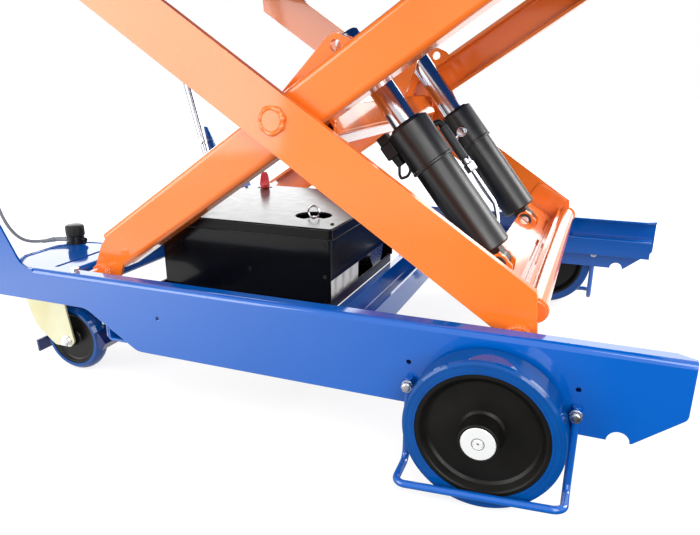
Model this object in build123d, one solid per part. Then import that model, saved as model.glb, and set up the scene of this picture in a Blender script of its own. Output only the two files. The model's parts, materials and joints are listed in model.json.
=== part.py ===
from build123d import *
import math
import os

# Mobile scissor lift table on two fixed wheels and two swivel casters, platform raised.
# X points forward, Y to the left, Z up, the floor is Z = 0. All sizes are millimetres.

# Chassis
front_x = 631.0             # front end of the side rails
rail_half = 389.0           # outer face of a side rail from the centre line
rail_bottom = 101.0
rail_top = 214.6
raised_bottom = 160.5       # lower edge of the rail where it clears the caster
sheet = 4.0                 # folded sheet of the chassis
flange_width = 25.0
bend_radius = 8.0
horn_top = 382.0            # top of the plates that carry the push handle
track_top = 174.0           # running face of the lower roller track
deck_top = 210.4            # caster decks and rear beam lie just under the rail flange

# Front wheels
wheel_back = 222.5          # wheel centre behind the rail front
wheel_radius = 100.0
tyre_width = 44.0
rim_radius = 83.0
hub_radius = 25.0
axle_radius = 12.5
wheel_face = rail_half + 50.0
cap_radius = 21.4
shoulder = 4.5              # eased tyre shoulder
guard_span = 104.0          # foot guard legs in front of and behind the wheel centre
guard_radius = 5.0

# Casters
caster_pin_back = 1012.0
caster_axle_back = 980.0
caster_y = 303.0
caster_radius = 62.5
caster_tyre_width = 28.0
fork_gap = 23.0             # inner face of a fork leg from the caster's middle

# Scissor: the rest pose is the raised pose
arm_half = 435.3            # pivot to centre pin
rest_angle = 37.5           # pivot line above the horizontal
plate_angle = 33.8          # edge of the arm plates above the horizontal
centre_back = 545.0         # centre pin behind the rail front
pivot_z = 192.0
outer_face = 338.0          # outer face of an outer arm
outer_plate = 12.0
outer_half_height = 37.0
inner_face = 315.0          # outer face of an inner arm
inner_sheet = 6.0
inner_low = -38.0
inner_high = 28.0
inner_depth = 40.0
centre_pin_radius = 15.0
roller_radius = 17.8
roller_width = 17.0
stub_radius = 10.0
eye_along = 111.2           # lifting eye in inner arm coordinates
eye_off = 40.9
eye_radius = 8.0
eye_plate = 8.0

tube_along = 428.2          # front tube in outer arm coordinates
tube_off = 11.0
tube_radius = 15.0

# Hydraulic cylinders
cylinder_y = 166.0
lower_pin_along = 360.4     # lower cylinder pin in outer arm coordinates
lower_pin_off = -12.3
rod_pin_along = 97.1        # rod pin in inner arm coordinates
rod_pin_off = 49.6
rod_end = 24.0              # rod beyond its pin
barrel_radius = 31.0
collar_radius = 34.0
rod_radius = 20.0
barrel_start = 22.0         # measured from the lower pin along the cylinder
collar_start = 178.0
collar_end = 250.0
rod_start = 138.0

# Power unit
box_front = -245.0          # box side nearest the right rail
box_back = 82.0
box_left_back = 816.0       # rear and front walls behind the rail front
box_right_back = 500.0
box_top = 291.0

# Push handle
handle_lean = 76.0          # uprights above the horizontal
handle_radius = 11.0
handle_y = 365.0
handle_back = 1118.6        # upright axis behind the rail front at handle_z
handle_z = 309.0
handle_top = 930.0
control_z = 820.0           # middle of the hand control
button_radius = 12.0
button_offsets = (26.0, -14.0)

# Platform
platform_rear_back = 937.0
platform_front_back = -22.43
platform_half = 400.0
platform_sheet = 5.0
platform_skirt = 50.0
platform_gap = 22.0         # platform underside above its pivots

# Cable
cable_radius = 3.0

run = 1.0 / math.tan(math.radians(handle_lean))
rest = math.radians(rest_angle)
tilt = math.radians(plate_angle)
centre_x = front_x - centre_back
centre_z = pivot_z + arm_half * math.sin(rest)
rear_pivot_x = centre_x - arm_half * math.cos(rest)
front_pin_x = centre_x + arm_half * math.cos(rest)
upper_z = pivot_z + 2.0 * arm_half * math.sin(rest)
platform_under = upper_z + platform_gap
pin_along = arm_half * math.cos(rest - tilt)
pin_off = arm_half * math.sin(rest - tilt)
web_inner = rail_half - sheet
wheel_x = front_x - wheel_back


def back(distance):
    """X of a point measured back from the front end of the rails."""
    return front_x - distance


def side_plane(y):
    """Sketch plane facing the right-hand side: sketch x is X, sketch y is Z."""
    return Plane(origin=(0, y, 0), x_dir=(1, 0, 0), z_dir=(0, -1, 0))


def outer_plane(y):
    """Plane of an outer arm: x runs down the arm to the front, y is square to it."""
    direction = (math.cos(tilt), 0, -math.sin(tilt))
    return Plane(origin=(centre_x, y, centre_z), x_dir=direction, z_dir=(0, -1, 0))


def inner_plane(y):
    """Plane of an inner arm: x runs up the arm to the front, y is square to it."""
    direction = (math.cos(tilt), 0, math.sin(tilt))
    return Plane(origin=(centre_x, y, centre_z), x_dir=direction, z_dir=(0, -1, 0))


def rounded(points, radii):
    """Closed outline with its own corner radius at each point."""
    return make_face(FilletPolyline(*points, radius=radii, close=True))


def plate(plane, outline, thickness):
    """Plate grown from an outline along the normal of its plane."""
    return extrude(plane * outline, amount=thickness, dir=plane.z_dir)


def disc(plane, x, y, radius):
    """Circle at a place on a plane."""
    return plane * Pos(x, y) * Circle(radius)


def bar_y(x, z, radius, y_from, y_to):
    """Round bar along Y."""
    return extrude(disc(side_plane(y_to), x, z, radius), amount=y_to - y_from)


def block(x_from, x_to, y_from, y_to, z_from, z_to):
    """Rectangular block between limits."""
    size = (x_to - x_from, y_to - y_from, z_to - z_from)
    middle = ((x_from + x_to) / 2, (y_from + y_to) / 2, (z_from + z_to) / 2)
    return Pos(*middle) * Box(*size)


def hexagon_y(x, z, flats, y_from, y_to):
    """Hexagon bolt head or nut along Y."""
    profile = side_plane(y_to) * Pos(x, z) * RegularPolygon(flats / math.sqrt(3), 6)
    return extrude(profile, amount=y_to - y_from)


def other_side(solid):
    """The same piece on the other side of the table."""
    return mirror(solid, about=Plane.XZ)


def pair(solid):
    """A piece and its mirror image as separate solids."""
    return Compound(children=[*solids_of(solid), *solids_of(other_side(solid))])


def solids_of(shape):
    """The solids of a shape."""
    return list(shape.solids())


def save(name, shape):
    """Write one piece."""
    export_step(shape, f"parts/{name}.step")


def side_rail():
    """Right rail: folded web and flange, raised rear end, handle horn and axle hanger."""
    outline = [
        (back(0), rail_top - 29),
        (back(0), 145),
        (back(54), rail_bottom),
        (back(771), rail_bottom),
        (back(867), raised_bottom),
        (back(1085), raised_bottom),
        (back(1140), horn_top),
        (back(1127), horn_top),
        (back(1098), 322),
        (back(1034), 296),
        (back(991), rail_top),
        (back(970), rail_top),
        (back(970), rail_top - 29),
    ]
    radii = [0, 10, 6, 30, 30, 15, 6, 5, 20, 18, 30, 0, 0]
    web = plate(side_plane(-web_inner), rounded(outline, radii), sheet)
    profile = [
        (-rail_half, rail_top - 30),
        (-rail_half, rail_top),
        (-rail_half + flange_width, rail_top),
        (-rail_half + flange_width, rail_top - sheet),
        (-web_inner, rail_top - sheet),
        (-web_inner, rail_top - 30),
    ]
    fold = rounded(profile, [0, bend_radius, 0, 0, bend_radius - sheet, 0])
    fold_plane = Plane(origin=(back(970), 0, 0), x_dir=(0, 1, 0), z_dir=(1, 0, 0))
    rail = web + plate(fold_plane, fold, 970)
    corner = [
        (back(3), -rail_half + 14),
        (back(-5), -rail_half + 14),
        (back(-5), -360),
        (back(26), -360),
    ]
    rail -= plate(Plane((0, 0, rail_top - 10)), Polygon(*corner, align=None), 20)
    hanger = Pos(wheel_x, 128) * Rectangle(72, 50) + Pos(wheel_x, wheel_radius) * Circle(32)
    rail += plate(side_plane(-web_inner + 10), hanger, 10)
    cuts = disc(side_plane(-300), wheel_x, wheel_radius, axle_radius + 0.02)
    cuts += disc(side_plane(-300), back(69), rail_bottom, 13)
    for hole_back, hole_z in ((119.5, 160), (329, 160), (727, 163)):
        cuts += disc(side_plane(-300), back(hole_back), hole_z, 3.5)
    rail -= extrude(cuts, amount=120)
    socket = bar_y(rear_pivot_x, pivot_z, 18.3, -web_inner, -web_inner + 19)
    return rail + socket - bar_y(rear_pivot_x, pivot_z, centre_pin_radius + 0.05, -web_inner, -300)


def roller_tracks():
    """Folded angle inside each rail on which the lower roller runs."""
    inner = -web_inner + 24
    leg = 40.0
    profile = [
        (-web_inner, track_top),
        (inner, track_top),
        (inner, track_top - leg),
        (inner - sheet, track_top - leg),
        (inner - sheet, track_top - sheet),
        (-web_inner, track_top - sheet),
    ]
    outline = rounded(profile, [0, 5, 0, 0, 1, 0])
    plane = Plane(origin=(back(428), 0, 0), x_dir=(0, 1, 0), z_dir=(1, 0, 0))
    return pair(plate(plane, outline, 422))


def hollow_beam(x_from, x_to, z_from, z_to, wall):
    """Rectangular tube across the chassis, between the rails."""
    size_x = x_to - x_from
    size_z = z_to - z_from
    section = RectangleRounded(size_x, size_z, wall * 1.5)
    section -= RectangleRounded(size_x - 2 * wall, size_z - 2 * wall, wall * 0.5)
    plane = side_plane(web_inner) * Pos((x_from + x_to) / 2, (z_from + z_to) / 2)
    return extrude(plane * section, amount=2 * web_inner)


def centre_beam():
    """Folded cross channel in front of the power unit, lips upward."""
    profile = [
        (back(495), 146),
        (back(495), 112),
        (back(430), 112),
        (back(430), 162),
        (back(434), 162),
        (back(434), 116),
        (back(491), 116),
        (back(491), 150),
        (back(505), 150),
        (back(505), 146),
    ]
    outline = rounded(profile, [0, 6, 6, 0, 0, 2, 2, 0, 0, 0])
    return plate(side_plane(web_inner), outline, 2 * web_inner)


def caster_deck():
    """Rounded pan over each caster with the mounting strip under it."""
    outline = [
        (back(957.5), -web_inner),
        (back(1062), -web_inner),
        (back(1062), -190),
        (back(957.5), -190),
    ]
    hole = [
        (back(957.5 + sheet), -web_inner + sheet),
        (back(1062 - sheet), -web_inner + sheet),
        (back(1062 - sheet), -190 - sheet),
        (back(957.5 + sheet), -190 - sheet),
    ]
    pan = plate(Plane.XY, rounded(outline, [0, 62, 62, 6]), deck_top - 167)
    pan -= plate(Plane.XY, rounded(hole, [0, 58, 58, 3]), deck_top - 167 - sheet)
    strip = block(back(1056), back(964), -382, -230, 0, 4)
    strip = strip & plate(Plane.XY, rounded(outline, [0, 62, 62, 6]), 10)
    return Pos(0, 0, 167) * (pan + strip)


def front_axle():
    """Round axle through both rails."""
    return bar_y(wheel_x, wheel_radius, axle_radius, -wheel_face - 12, wheel_face + 12)


def axle_caps():
    """Plated end discs that hold the wheels on, with a turned centre mark."""
    face = wheel_face + 16.7
    cap = bar_y(wheel_x, wheel_radius, cap_radius, -face, -wheel_face - 12)
    cap = chamfer(cap.edges().group_by(Axis.Y)[0], 0.8)
    plane = side_plane(-face)
    mark = disc(plane, wheel_x, wheel_radius, 6.4) - disc(plane, wheel_x, wheel_radius, 5.4)
    mark += disc(plane, wheel_x, wheel_radius, 1.6)
    return pair(cap - extrude(mark, amount=-0.8))


def spun(profile, x, z, y_origin):
    """Ring spun about an axis along Y; profile points are radius and distance inboard."""
    plane = Plane(origin=(x, y_origin, z), x_dir=(0, 0, 1), z_dir=(-1, 0, 0))
    return revolve(plane * Polygon(*profile, align=None), axis=Axis((x, 0, z), (0, 1, 0)))


def eased(points, sizes):
    """Closed profile with each corner cut by two short flats that follow a round of that size."""
    result = []
    for index, size in enumerate(sizes):
        corner = Vector(*points[index])
        before = (Vector(*points[index - 1]) - corner).normalized()
        after = (Vector(*points[(index + 1) % len(points)]) - corner).normalized()
        if size == 0:
            result.append((corner.X, corner.Y))
            continue
        middle = corner + (before + after) * (0.293 * size)
        for point in (corner + before * size, middle, corner + after * size):
            result.append((point.X, point.Y))
    return result


def wheel_centre():
    """Dished black wheel centre with a long hub."""
    profile = [
        (axle_radius + 0.05, -11.7),
        (cap_radius + 0.5, -11.7),
        (cap_radius + 0.5, -16.0),
        (hub_radius - 1, -16.0),
        (hub_radius, -15.0),
        (hub_radius + 1, 11),
        (hub_radius + 4, 14),
        (68, 13),
        (71.5, 10),
        (76.5, 2),
        (78.5, 1),
        (rim_radius, 1),
        (rim_radius, 43),
        (78.5, 43),
        (71, 32),
        (hub_radius + 2, 30),
        (hub_radius, 44),
        (axle_radius + 0.05, 44),
    ]
    return spun(profile, wheel_x, wheel_radius, -wheel_face)


def wheel_tyre():
    """Solid tyre with eased shoulders."""
    profile = [(rim_radius, 0), (wheel_radius, 0), (wheel_radius, tyre_width), (rim_radius, tyre_width)]
    return spun(eased(profile, [0, shoulder, shoulder, 0]), wheel_x, wheel_radius, -wheel_face)


def foot_guards():
    """Bent round bar round each fixed wheel: two upright legs and a hoop close to the floor."""
    top = 141.0
    near = -rail_half - guard_radius
    front = wheel_x + guard_span
    rear = wheel_x - guard_span
    points = [
        (front, near, top),
        (front, near, 22),
        (front, -rail_half - 57, 28),
        (rear, -rail_half - 60, 16),
        (rear, near, 20),
        (rear, near, top),
    ]
    path = FilletPolyline(*points, radius=[14, 14, 14, 14])
    bar = sweep(Plane(origin=path @ 0, z_dir=path % 0) * Circle(guard_radius), path=path)
    return pair(bar)


def frame_bolts():
    """Hexagon heads of the foot guards, handle and pivot lock screws."""
    heads = []
    for sign in (1, -1):
        x = wheel_x + sign * guard_span
        head = hexagon_y(x, 131, 13, -rail_half - 2 * guard_radius - 7, -rail_half - 2 * guard_radius)
        heads.append(head)
    for z in (255.0, 346.0):
        x = back(handle_back) - (z - handle_z) * run
        heads.append(hexagon_y(x, z, 15, -handle_y + handle_radius, -handle_y + handle_radius + 7))
        heads.append(hexagon_y(x, z, 15, -rail_half - 7, -rail_half))
    place = Pos(rear_pivot_x, -rail_half + 13, rail_top)
    lock = place * Cylinder(7, 2, align=(Align.CENTER, Align.CENTER, Align.MIN))
    lock += extrude(place * Pos(0, 0, 2) * RegularPolygon(7, 6), amount=5)
    heads.append(lock)
    both = heads + [other_side(head) for head in heads]
    return Compound(children=[solid for head in both for solid in solids_of(head)])


def push_handle():
    """One bent tube: two leaning uprights and the grip across the top."""
    low = 225.0
    ends = [(back(handle_back) - (z - handle_z) * run, z) for z in (low, handle_top)]
    points = [
        (ends[0][0], -handle_y, ends[0][1]),
        (ends[1][0], -handle_y, ends[1][1]),
        (ends[1][0], handle_y, ends[1][1]),
        (ends[0][0], handle_y, ends[0][1]),
    ]
    path = FilletPolyline(*points, radius=[70, 70])
    section = Circle(handle_radius) - Circle(handle_radius - 2)
    tube = sweep(Plane(origin=path @ 0, z_dir=path % 0) * section, path=path)
    pads = []
    for z in (255.0, 346.0):
        x = back(handle_back) - (z - handle_z) * run
        pads.append(bar_y(x, z, 9, -web_inner, -handle_y - handle_radius + 2))
    for pad in pads:
        tube += pad + other_side(pad)
    return tube


def control_box():
    """Hand control on the right upright: case with button recesses, neck and clamp."""
    x = back(handle_back) - (control_z - handle_z) * run
    lean = Rot(0, handle_lean - 90, 0)
    case = Pos(x, -handle_y + 44, control_z) * lean * fillet(Box(44, 56, 118).edges(), 5)
    for offset in button_offsets:
        case -= button_place(offset) * Pos(0, 0, 5.6) * Cylinder(button_radius + 0.3, 7.2)
    clamp = Pos(x, -handle_y, control_z) * lean * Cylinder(handle_radius + 5, 26)
    neck = Pos(x, -handle_y + 14, control_z) * Box(16, 10, 26)
    hole = Pos(x, -handle_y, control_z) * lean * Cylinder(handle_radius + 0.02, 60)
    return case + clamp + neck - hole


def caster_head():
    """Top plate, raceway and kingpin of a caster, right-hand side."""
    x = back(caster_pin_back)
    head = block(x - 42, x + 42, -caster_y - 46, -caster_y + 46, 162, 167)
    base = Pos(x, -caster_y, 0)
    low = (Align.CENTER, Align.CENTER, Align.MIN)
    head += base * Pos(0, 0, 150) * Cone(31, 36, 12, align=low)
    head += base * Pos(0, 0, 136) * Cylinder(8, 16, align=low)
    nut = Pos(x, -caster_y, 136) * RegularPolygon(13, 6)
    return head + extrude(nut, amount=9.4)


def caster_fork():
    """Pressed fork with tapered legs, crown and wheel bolt."""
    pin_x = back(caster_pin_back)
    axle_x = back(caster_axle_back)
    outline = [
        (pin_x - 54, 149.7),
        (pin_x + 36, 149.7),
        (axle_x + 18, 61),
        (axle_x + 7, 51),
        (axle_x - 27, 51),
        (pin_x - 36, 84),
    ]
    leg = plate(side_plane(0), rounded(outline, [0, 0, 8, 6, 10, 60]), 3.5)
    outer = -caster_y - fork_gap
    legs = Pos(0, outer, 0) * leg + Pos(0, outer + 2 * fork_gap + 3.5, 0) * leg
    crown = block(pin_x - 54, pin_x + 36, outer, outer + 2 * fork_gap, 145.7, 149.7)
    hood = block(pin_x + 30, pin_x + 70, -caster_y - 17, -caster_y + 17, 145.7, 149.7)
    fork = legs + crown + hood
    fork -= Pos(pin_x, -caster_y, 147) * Cylinder(8.05, 20)
    bolt = bar_y(axle_x, caster_radius, 6, outer - 12, outer + 2 * fork_gap + 20)
    bolt += hexagon_y(axle_x, caster_radius, 15, outer - 10.5, outer - 3.5)
    bolt += hexagon_y(axle_x, caster_radius, 15, -caster_y + 34.5, -caster_y + 41)
    return fork + bolt


def caster_core():
    """Ribbed dark core of a caster wheel."""
    hub = fork_gap - 0.5
    half = [
        (6.05, hub),
        (13, hub),
        (14, 10),
        (16, 8),
        (41, 8),
        (43.5, 9.5),
        (46, 12.5),
        (50, 12.5),
    ]
    profile = half + [(radius, -across) for radius, across in reversed(half)]
    return spun(profile, back(caster_axle_back), caster_radius, -caster_y)


def caster_tyre():
    """Solid blue tyre of a caster."""
    half_width = caster_tyre_width / 2
    half = [
        (50, half_width),
        (55.5, half_width),
        (60.5, half_width - 5),
        (caster_radius, half_width - 11),
    ]
    profile = half + [(radius, -across) for radius, across in reversed(half)]
    return spun(profile, back(caster_axle_back), caster_radius, -caster_y)


def brake_pedal():
    """Rocking brake lever on the caster bolt: toe plate in front, release tab behind."""
    axle_x = back(caster_axle_back)
    outline = [
        (-87, -17),
        (-12, 11),
        (12, 12),
        (67, 21),
        (80, 2),
        (71, -11),
        (12, -12),
        (-12, -12),
        (-70, -38),
        (-85.5, -39),
    ]
    plane = side_plane(-caster_y + 33.5)
    arm = plate(plane, Pos(axle_x, caster_radius) * Polygon(*outline, align=None), 4)
    toe = [(63.5, 18), (67, 21), (80, 2), (71, -11), (64.5, -7)]
    tab = [(-83, -17), (-87, -17), (-85.5, -39), (-81.5, -39)]
    for shape, y_from in ((toe, -18), (tab, -15)):
        face = Pos(axle_x, caster_radius) * Polygon(*shape, align=None)
        arm += plate(plane, face, 33.5 - y_from)
    return arm - bar_y(axle_x, caster_radius, 6.05, -caster_y + 20, -caster_y + 50)


def weld_ring(arm_plane, y, along, off, radii, height):
    """Cone of weld metal round a stub, standing out from an arm's face."""
    foot = disc(arm_plane(y), along, off, radii[0])
    return loft([foot, disc(arm_plane(y - height), along, off, radii[1])])


def outer_arm():
    """Right outer arm: flat plate with pivot eyes and the welded roller stub."""
    end = 413.0
    outline = [
        (end, outer_half_height),
        (453, -12),
        (440, -outer_half_height),
        (-end, -outer_half_height),
        (-453, 12),
        (-440, outer_half_height),
    ]
    inner = outer_plane(-outer_face + outer_plate)
    shape = rounded(outline, [6, 8, 6, 6, 8, 6])
    arm = plate(inner, shape, outer_plate)
    arm += extrude(disc(inner, pin_along, -pin_off, 23), amount=outer_plate)
    arm += extrude(disc(inner, -pin_along, pin_off, 20), amount=outer_plate)
    arm += weld_ring(outer_plane, -outer_face, pin_along, -pin_off, (20, 15), 7)
    arm += bar_y(front_pin_x, pivot_z, stub_radius, -web_inner + 1, -outer_face)
    arm += weld_ring(outer_plane, -outer_face, 0, 0, (19, 16.5), 3)
    holes = disc(inner, 0, 0, centre_pin_radius + 0.02)
    holes += disc(inner, -pin_along, pin_off, stub_radius + 0.05)
    return arm - extrude(holes, amount=outer_plate + 10) - extrude(holes, amount=-10)


def centre_pins():
    """Turned pin of each scissor crossing."""
    pin = bar_y(centre_x, centre_z, centre_pin_radius, -outer_face - 4.5, -inner_face + 18)
    return pair(chamfer(pin.edges().group_by(Axis.Y)[0], 1.5))


def inner_arm():
    """Right inner arm: folded channel with pivot stubs, lifting eye and centre bush."""
    profile = [
        (0, inner_low),
        (inner_depth, inner_low),
        (inner_depth, inner_low + inner_sheet),
        (inner_sheet, inner_low + inner_sheet),
        (inner_sheet, inner_high - inner_sheet),
        (inner_depth, inner_high - inner_sheet),
        (inner_depth, inner_high),
        (0, inner_high),
    ]
    section = rounded(profile, [9, 0, 0, 3, 3, 0, 0, 9])
    start = inner_plane(-inner_face).from_local_coords((-388, 0, 0))
    along = (math.cos(tilt), 0, math.sin(tilt))
    arm = plate(Plane(origin=start, x_dir=(0, 1, 0), z_dir=along), section, 800)
    inside = inner_plane(-inner_face + inner_sheet)
    tail = [(-380, 20), (-402, 14), (-438, -8), (-456, -28), (-434, -50), (-402, -46), (-380, -30)]
    rear = rounded(tail, [0, 8, 8, 21, 20, 8, 0])
    front = Polygon((400, 24), (420, 42), (448, 42), (453, 21), (438, -4), (405, -30), align=None)
    arm += plate(inside, rear, inner_sheet)
    arm += plate(inside, front, inner_sheet)
    arm += extrude(disc(inside, pin_along, pin_off, 20), amount=inner_sheet)
    ear = [(-30, 23), (-30, 28), (103, 56), (120, 56), (133, 36), (135, 23)]
    lug = rounded(ear, [0, 3, 14, 12, 6, 0])
    eye = inner_plane(-inner_face + inner_depth)
    arm += plate(eye, lug, eye_plate) - extrude(disc(eye, eye_along, eye_off, eye_radius), amount=eye_plate)
    arm += extrude(disc(inner_plane(-inner_face + 16), 0, 0, 24), amount=23)
    arm += weld_ring(inner_plane, -inner_face, -pin_along, -pin_off, (20, 15), 7)
    arm += bar_y(rear_pivot_x, pivot_z, centre_pin_radius, -web_inner + 0.4, -inner_face)
    arm += bar_y(front_pin_x, upper_z, stub_radius + 6, -inner_face - 5, -inner_face)
    arm += bar_y(front_pin_x, upper_z, stub_radius, -inner_face - 31, -inner_face)
    slit = inner_plane(-inner_face + 16) * Pos(-350, inner_low + 3) * Rectangle(56, 14)
    arm -= extrude(slit, amount=6)
    return arm - extrude(disc(inner_plane(-inner_face + 30), 0, 0, centre_pin_radius + 0.05), amount=60)


def torsion_beam():
    """Square tube between the inner arms with the plates that take the piston rods."""
    size = 48.0
    top = -10.0
    reach = inner_face - inner_depth
    place = inner_plane(reach) * Pos(26, top - size / 2)
    section = RectangleRounded(size, size, 6) - RectangleRounded(size - 8, size - 8, 2)
    beam = extrude(place * section, amount=2 * reach)
    outline = [(8, top - 3), (42, top - 3), (110, 37.5), (84, 62)]
    for side in (-1, 1):
        for gap in (22.0, -30.0):
            face = inner_plane(side * cylinder_y + gap + 8)
            beam += plate(face, Polygon(*outline, align=None), 8)
            beam += extrude(disc(face, rod_pin_along, rod_pin_off, 17), amount=8)
    return beam


def cross_plate():
    """Folded plate between the outer arms with cheeks, slots and the lower cylinder lugs."""
    reach = outer_face - outer_plate
    width = 2 * reach
    back_plane = outer_plane(reach)
    profile = [(345, -18), (413, -18), (413, 12), (407, 12), (407, -12), (345, -12)]
    frame = plate(back_plane, rounded(profile, [0, 6, 0, 0, 1, 0]), width)
    cheek = rounded([(340, -18), (340, 30), (410, 33), (444, -8), (438, -18)], [0, 4, 6, 6, 4])
    for y in (reach, -reach + 8):
        frame += plate(outer_plane(y), cheek, 8)
        frame += extrude(disc(outer_plane(y), tube_along, tube_off, tube_radius), amount=8)
    for side in (-1, 1):
        y = side * cylinder_y
        notch = outer_plane(y + 15) * Pos(362, -15) * Rectangle(46, 12)
        frame -= extrude(notch, amount=30)
        for gap in (15.0, -23.0):
            face = outer_plane(y + gap + 8)
            frame += plate(face, Polygon((345, -18), (390, -18), (378, 0), (350, 4), align=None), 8)
            frame += extrude(disc(face, lower_pin_along, lower_pin_off, 16), amount=8)
        frame -= extrude(disc(outer_plane(y + 30), lower_pin_along, lower_pin_off, 8.02), amount=60)
    for y, length in ((215, 90), (10, 150), (-225, 70)):
        slot = outer_plane(y + length / 2) * Pos(401, -15) * Rectangle(5, 12)
        frame -= extrude(slot, amount=length)
    return frame


def front_tube():
    """Round tube across the front of the outer arms."""
    reach = outer_face - outer_plate - 8
    plane = outer_plane(reach)
    ring = disc(plane, tube_along, tube_off, tube_radius) - disc(plane, tube_along, tube_off, tube_radius - 4)
    return extrude(ring, amount=2 * reach)


def cylinder_pins():
    """Pin through each lower cylinder eye."""
    plane = outer_plane(0)
    point = plane.from_local_coords((lower_pin_along, lower_pin_off, 0))
    return pair(bar_y(point.X, point.Z, 8, -cylinder_y - 27, -cylinder_y + 27))


def cylinder_frame():
    """Lower pin, unit vector to the rod pin and distance between them at rest."""
    low = outer_plane(0).from_local_coords((lower_pin_along, lower_pin_off, 0))
    top = inner_plane(0).from_local_coords((rod_pin_along, rod_pin_off, 0))
    gap = top - low
    return low, gap.normalized(), gap.length


def cylinder_plane(y, distance):
    """Plane square to the cylinder at a distance from its lower pin; sketch x is Y."""
    low, axis, length = cylinder_frame()
    point = low + axis * distance
    return Plane(origin=(point.X, y, point.Z), x_dir=(0, 1, 0), z_dir=axis)


def cylinder_barrel():
    """Right barrel: eye, base, tube, head collar with seam ring and rod bore."""
    y = -cylinder_y
    low = cylinder_frame()[0]
    eye = bar_y(low.X, low.Z, 15, y - 14, y + 14)
    eye += extrude(cylinder_plane(y, 0) * Rectangle(28, 26), amount=barrel_start + 2)
    half = [
        (rod_radius + 0.05, collar_end),
        (collar_radius - 2, collar_end),
        (collar_radius, collar_end - 2),
        (collar_radius, collar_start + 5),
        (collar_radius + 1, collar_start + 4),
        (collar_radius + 1, collar_start + 1),
        (collar_radius - 0.5, collar_start),
        (barrel_radius, collar_start),
        (barrel_radius, barrel_start + 3),
        (barrel_radius - 3, barrel_start),
        (0, barrel_start),
        (0, barrel_start + 10),
        (rod_radius + 0.05, barrel_start + 10),
    ]
    axis = cylinder_frame()[1]
    plane = Plane(origin=(low.X, y, low.Z), x_dir=(0, 1, 0), z_dir=Vector(0, 1, 0).cross(axis))
    tube = revolve(plane * Polygon(*half, align=None), axis=Axis((low.X, y, low.Z), axis))
    return eye + tube - bar_y(low.X, low.Z, 8.05, y - 40, y + 40)


def cylinder_rod():
    """Right piston rod with its eased end and cross pin."""
    y = -cylinder_y
    low, axis, length = cylinder_frame()
    top = low + axis * length
    rod = extrude(cylinder_plane(y, rod_start) * Circle(rod_radius), amount=length + rod_end - rod_start)
    rod = chamfer(rod.faces().sort_by(Axis(low, axis))[-1].edges(), 2)
    return rod + bar_y(top.X, top.Z, 10, y - 21.4, y + 21.4)


def service_line(y, across):
    """Line along a cylinder between the ports of its head and base, on the side that across points to."""
    start = Vector(cylinder_plane(y, collar_end - 34).origin)
    axis = cylinder_frame()[1]
    reach = collar_radius + 8
    return [
        start + across * (collar_radius - 1),
        start + across * reach,
        start + across * reach - axis * 150,
        start + across * (barrel_radius + 4) - axis * 166,
        start + across * (barrel_radius + 4) - axis * 182,
    ]


def burst_valve():
    """Black hose burst valve and its hose on the right cylinder."""
    y = -cylinder_y
    axis = cylinder_frame()[1]
    rear = axis.cross(Vector(0, 1, 0))
    origin = Vector(cylinder_plane(y, collar_end - 28).origin) + rear * (collar_radius + 8)
    seat = Plane(origin=origin, x_dir=(0, 1, 0), z_dir=axis)
    valve = extrude(seat * RectangleRounded(26, 22, 3), amount=38)
    valve += extrude(seat * Circle(8), amount=-16)
    return valve - extrude(cylinder_plane(y, collar_start) * Circle(collar_radius + 1.02), amount=200)


def line_pipe(y, across, radius):
    """Round line with hexagon unions at both ends, outside a cylinder."""
    points = service_line(y, across)
    path = FilletPolyline(*points, radius=[7, 12, 6])
    pipe = sweep(Plane(origin=path @ 0, z_dir=path % 0) * Circle(radius), path=path)
    union = Plane(origin=points[0], z_dir=across)
    pipe += extrude(union * RegularPolygon(8, 6), amount=8)
    end = Plane(origin=points[-1], z_dir=cylinder_frame()[1])
    pipe += extrude(end * RegularPolygon(7, 6), amount=12)
    barrel = cylinder_plane(y, barrel_start) * Circle(barrel_radius + 0.02)
    collar = cylinder_plane(y, collar_start) * Circle(collar_radius + 1.02)
    pipe -= extrude(barrel, amount=collar_start - barrel_start)
    return pipe - extrude(collar, amount=collar_end - collar_start)


def roller(x, z, y_from):
    """Steel roller with eased edges and its bore, both sides of the table."""
    ring = bar_y(x, z, roller_radius, y_from, y_from + roller_width)
    ring = chamfer(ring.edges(), 1.2)
    return pair(ring - bar_y(x, z, stub_radius + 0.05, y_from - 5, y_from + roller_width + 5))


def platform_top():
    """Flat platform with folded skirt and mitred corners."""
    x_from = back(platform_rear_back)
    x_to = back(platform_front_back)
    top = platform_under + platform_sheet
    pan = block(x_from, x_to, -platform_half, platform_half, top - platform_skirt, top)
    pan = fillet(pan.edges().filter_by(Axis.Z), 10)
    pan = fillet(pan.faces().sort_by(Axis.Z)[-1].edges(), 4)
    inside = platform_half - 4
    hollow = block(x_from + 4, x_to - 4, -inside, inside, top - platform_skirt - 5, platform_under)
    hollow = fillet(hollow.edges().filter_by(Axis.Z), 6)
    return pan - hollow


def platform_tracks():
    """Channel under each side of the platform for the upper rollers."""
    web = inner_face + 35
    low = upper_z - roller_radius - 0.3
    profile = [
        (-web - 4, low - 4),
        (-web - 4, platform_under),
        (-web + 27, platform_under),
        (-web + 27, platform_under - 4),
        (-web, platform_under - 4),
        (-web, low),
        (-web + 27, low),
        (-web + 27, low - 4),
    ]
    outline = rounded(profile, [5, 0, 0, 0, 2, 2, 0, 0])
    plane = Plane(origin=(back(330), 0, 0), x_dir=(0, 1, 0), z_dir=(1, 0, 0))
    return pair(plate(plane, outline, 326))


def platform_hinges():
    """Rear hinge plates under the platform with their pins."""
    outline = [(-34, platform_gap), (34, platform_gap), (18, -14), (-18, -14)]
    inner = side_plane(-outer_face - 4)
    lug = plate(inner, Pos(rear_pivot_x, upper_z) * rounded(outline, [0, 0, 14, 14]), 10)
    lug += bar_y(rear_pivot_x, upper_z, stub_radius, -outer_face - 20, -outer_face + outer_plate + 5)
    return pair(lug)


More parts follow.
